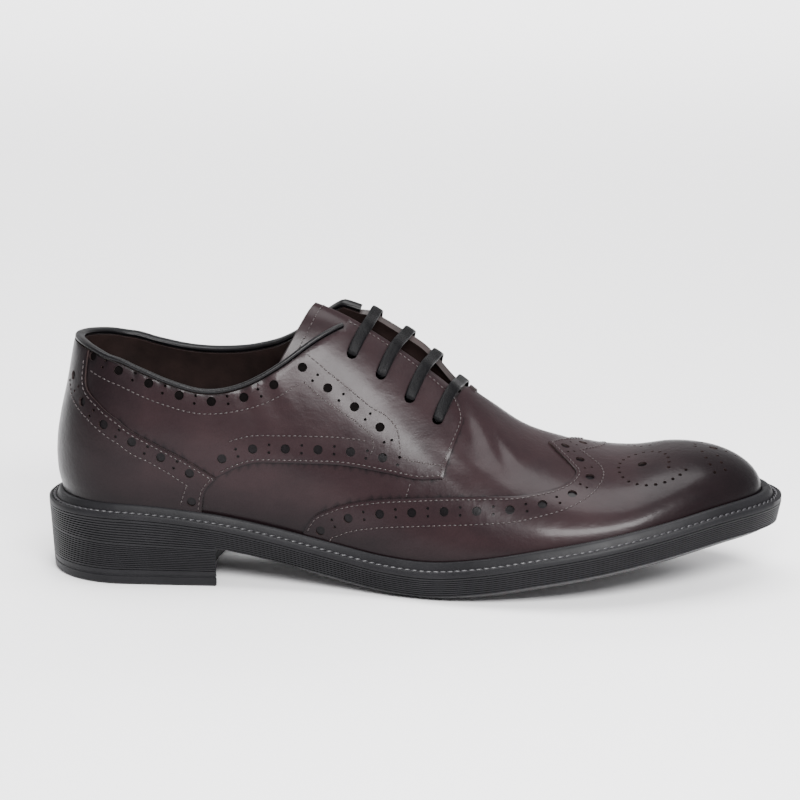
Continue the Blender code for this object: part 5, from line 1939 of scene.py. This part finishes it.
def build_tongue():
    """The sheet, with its top and side edges rounded off over part of its thickness."""
    depth = WALL + LACE_ROOM + TONGUE_ROOM
    steps = np.linspace(0, 1, TONGUE_STEPS + 1)
    steps = np.concatenate([steps[:-1], [1 - TONGUE_RIM_STEP / TONGUE_STEPS, 1.0]])
    across = np.linspace(-TONGUE_RIM_SIDE, TONGUE_RIM_SIDE, TONGUE_STEPS + 1)
    across = np.concatenate([[-1.0], across, [1.0]])
    top, bottom = [], []
    for ahead in steps:
        rim = (np.abs(across) == 1.0) | (ahead == 1.0)
        round_off = np.where(rim, TONGUE_ROUND * TONGUE_THICKNESS, 0.0)
        row = np.full_like(across, ahead)
        top.append(tongue_places(row, across, depth + round_off).tolist())
        bottom.append(tongue_places(row, across, depth + TONGUE_THICKNESS - round_off).tolist())
    return sheet(top, bottom)


tongue = add_piece("tongue_leather", *build_tongue(), LEATHER, "leather")
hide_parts("tongue")

# %% Tongue stitches
TONGUE_SEAM_DOWN = 0.945
TONGUE_SEAM_SIDE = 0.90
TONGUE_SEAM_LIFT = 0.0001
TONGUE_SEAM_START = 0.55
SIDE_STEPS = 40
TOP_STEPS = 120


def tongue_stitches():
    """One row that follows the top edge and runs down beside it on both sides."""
    upwards = np.linspace(TONGUE_SEAM_START, TONGUE_SEAM_DOWN, SIDE_STEPS)
    over = np.linspace(-TONGUE_SEAM_SIDE, TONGUE_SEAM_SIDE, TOP_STEPS)
    side = [(ahead, -TONGUE_SEAM_SIDE) for ahead in upwards]
    top = [(TONGUE_SEAM_DOWN, across) for across in over]
    line = side + top + [(ahead, -across) for ahead, across in side[::-1]]
    depth = WALL + LACE_ROOM + TONGUE_ROOM
    ahead, across = np.array(line).T
    points = tongue_places(ahead, across, np.full_like(across, depth - TONGUE_SEAM_LIFT))
    run = run_along(points)
    at = np.arange(STITCH_PITCH, run[-1] - STITCH_PITCH, STITCH_PITCH)
    centres = read_at(at, run, points)
    ways = unit(read_at(at + TRUE_STEP, run, points) - centres)
    deeper = tongue_places(ahead, across, np.full_like(across, depth))
    return centres, ways, unit(centres - read_at(at, run, deeper))


spindles("tongue_stitches", *tongue_stitches(), STITCH_REACH, STITCH_RADIUS, THREAD, "cord")

# %% [markdown]
# ## Collar binding
# A thin black binding is folded over the collar's edge from one facing to the other. It is a
# flat cord that is swept along the collar's line, upright on the edge and square to the wall.

# %% Collar binding
BINDING_WIDTH = 0.0040
BINDING_HEIGHT = 0.0021
BINDING_SIDES = 14
BINDING_POWER = 0.72
BINDING_PITCH = 0.0016
BINDING_REACH = 2
TRIM_BLACK = (0.0022, 0.0020, 0.0025)


def flat_round(value, power):
    """A sine or cosine that lingers at its ends, for a flattened round."""
    return math.copysign(abs(value) ** power, value)


def section(centre, side, up, width, thickness, count, power):
    """Points round a flat cord or binding."""
    points = []
    for k in range(count):
        turn = 2 * math.pi * (k + 0.5) / count
        reach = side * width / 2 * flat_round(math.cos(turn), power)
        lift = up * thickness / 2 * flat_round(math.sin(turn), power)
        points.append(tuple(centre + reach + lift))
    return points


def build_binding():
    """Sections at one pitch along the collar, from one facing over the back to the other."""
    line = collar(-1.0)[::-1] + collar(1.0)[1:]
    middle = (2 * OVERLAY - WALL) / 2
    run = run_along([raised(place, middle) for place in line])
    at = np.linspace(0, run[-1], int(run[-1] / BINDING_PITCH))
    back = run[len(collar(-1.0)) - 1]
    along_p = np.interp(at, run, [p for p, q in line])
    along_q = np.interp(at, run, [abs(q) for p, q in line]) * np.where(at < back, -1.0, 1.0)
    places = list(zip(along_p.tolist(), along_q.tolist()))
    rings = []
    for number, place in enumerate(places):
        normal = outward(*place)
        here = raised(place, middle)
        before = raised(places[max(number - BINDING_REACH, 0)], middle)
        after = raised(places[min(number + BINDING_REACH, len(places) - 1)], middle)
        up = np.cross(normal, (after - before) / np.linalg.norm(after - before))
        up = up * (1.0 if up[2] > 0 else -1.0)
        centre = here + up * (GAP + BINDING_HEIGHT / 2)
        rings.append(section(centre, normal, up, BINDING_WIDTH, BINDING_HEIGHT,
                             BINDING_SIDES, BINDING_POWER))
    return tube(rings)


TRIM = plain_finish("black binding leather", TRIM_BLACK, 0.33, 1300.0, 0.00018, 0.16)
binding = add_piece("collar_piping", *build_binding(), TRIM, "trim", 60)
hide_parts("collar_binding")

# %% [markdown]
# ## Lace
# A flat waxed lace crosses the opening in four straight bars. Each bar comes up through a
# punched hole, turns flat, lies over both facings and goes down on the far side, where it runs
# on to the next hole inside the shoe. One path does it all: the key points hold a width and a
# thickness, and a smooth curve fills the steps between them, so that the lace narrows to a cord
# where it passes a hole.

# %% Lace path
LACE_WIDTH = 0.0047
LACE_THICKNESS = 0.0013
LACE_CORE = 0.0016
LACE_SIDES = 16
LACE_POWER = 0.62
LACE_FILL = 5
BAR_LEAN = 0.0095
BAR_BENDS = (0.90, 0.70, 0.50)
HIDDEN_BENDS = (0.12, 0.50, 0.88)
END_FIRST = 0.0015
END_LAST = 0.0040
MOUTH_WIDTH = 0.92 * LACE_WIDTH
RUN_WIDTH = LACE_ROOM - 2.4 * GAP


def along(p, q):
    """Unit vector that runs along the form at one height."""
    way = form(p + NORMAL_STEP, q) - form(p - NORMAL_STEP, q)
    return way / np.linalg.norm(way)


def leaned(eyelet, share):
    """A place between an eyelet and the crown; on the outer side the bar leans to the toe."""
    lean = BAR_LEAN * (1 - share) if eyelet[1] < 0 else 0.0
    return eyelet[0] + lean, eyelet[1] * share


def lace_keys():
    """One flat lace: four bars over the facings, joined by hidden runs under them."""
    outer = eyelet_places(-1.0)
    inner = eyelet_places(1.0)
    over = OVERLAY + GAP + LACE_THICKNESS
    under = -(WALL + LACE_ROOM / 2)
    flat = (LACE_WIDTH, LACE_THICKNESS)
    mouth = (MOUTH_WIDTH, LACE_THICKNESS)
    core = (LACE_CORE, LACE_CORE)
    run = (RUN_WIDTH, LACE_CORE)
    # Heights of the key points on the way down through a hole
    depths = [0.8 * over, 0.3 * OVERLAY, -0.5 * WALL, -0.95 * WALL]
    path, sizes, sides = [], [], []

    def add(point, size, side):
        path.append(point)
        sizes.append(size)
        sides.append(side)

    def through(place, down, facing):
        for height in depths if down else depths[::-1]:
            size = mouth if height > OVERLAY else core
            add(raised(place, height), size, along(*place) * facing)

    def bar(start, end, facing):
        leave = [leaned(start, share) for share in BAR_BENDS]
        arrive = [leaned(end, share) for share in BAR_BENDS[::-1]]
        edges = raised(leave[-1], over) + raised(arrive[0], over)
        for place in leave:
            add(raised(place, over), flat, along(*place) * facing)
        add(0.5 * edges, flat, along(start[0], 0.0) * facing)
        for place in arrive:
            add(raised(place, over), flat, along(*place) * facing)

    def hidden(start, end, facing):
        for share in HIDDEN_BENDS:
            place = [a + (b - a) * share for a, b in zip(start, end)]
            add(on_form(*place, under), run, outward(*place) * facing)

    facing = 1.0
    for behind in (END_LAST, END_FIRST):
        place = (outer[0][0] - behind, outer[0][1])
        add(on_form(*place, under), run, outward(*place) * -facing)
    for number in range(len(EYELETS)):
        start, end = (outer, inner) if number % 2 == 0 else (inner, outer)
        through(start[number], False, facing)
        bar(start[number], end[number], facing)
        through(end[number], True, facing)
        if number < len(EYELETS) - 1:
            hidden(end[number], end[number + 1], facing)
        facing = -facing
    for ahead in (END_FIRST, END_LAST):
        place = (outer[-1][0] + ahead, outer[-1][1])
        add(on_form(*place, under), run, outward(*place) * -facing)
    return np.array(path), np.array(sizes), np.array(sides)


def filled(values, count):
    """Steps of a smooth curve through rows of values."""
    values = np.vstack([values[:1], values, values[-1:]])
    rows = []
    for a, b, c, d in zip(values[:-3], values[1:-2], values[2:-1], values[3:]):
        for step in range(count):
            t = step / count
            rows.append(0.5 * (2 * b + (c - a) * t + (2 * a - 5 * b + 4 * c - d) * t * t
                               + (3 * b - a - 3 * c + d) * t ** 3))
    return np.array(rows + [values[-1]])


def build_lace():
    """One tube whose section turns and narrows along the path."""
    path, sizes, sides = lace_keys()
    path, sides = filled(path, LACE_FILL), filled(sides, LACE_FILL)
    steps = np.arange(len(path)) / LACE_FILL
    sizes = read_at(steps, np.arange(len(sizes)), sizes)
    rings = []
    for i, point in enumerate(path):
        ahead = path[min(i + 1, len(path) - 1)] - path[max(i - 1, 0)]
        ahead = ahead / np.linalg.norm(ahead)
        side = sides[i] - ahead * ahead.dot(sides[i])
        side = side / np.linalg.norm(side)
        rings.append(section(point, side, np.cross(ahead, side), *sizes[i], LACE_SIDES, LACE_POWER))
    return tube(rings)


lace_line = filled(lace_keys()[0], LACE_FILL)
print("length of the lace in mm:", round(run_along(lace_line)[-1] * 1000))

# %% Lace
CORD_BLACK = (0.0016, 0.0015, 0.0019)


def waxed_cord():
    """Black cotton with wax: a fine weave in the bump, and small bright specks of wax."""
    made, tree, shader = new_material("black waxed cord", CORD_BLACK, 0.34)
    shader.inputs["Specular IOR Level"].default_value = 0.08
    weave = noise(tree, 1900.0, 2.0, 0.5)
    uneven_shine(tree, shader, noise(tree, 900.0, 3.0, 0.6), 0.24, 0.60)
    bumped(tree, shader, [(weave, 0.7, 0.00030)])
    return made


CORD = waxed_cord()
lace = add_piece("waxed_lace", *build_lace(), CORD, "cord", 60)
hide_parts("lace")

# %% [markdown]
# ## Finish
# The box of the solids is printed. Every piece was tied to the body when it was made.

# %% Print the solid box
print("solid box:", np.round(cad_box, 4).tolist())
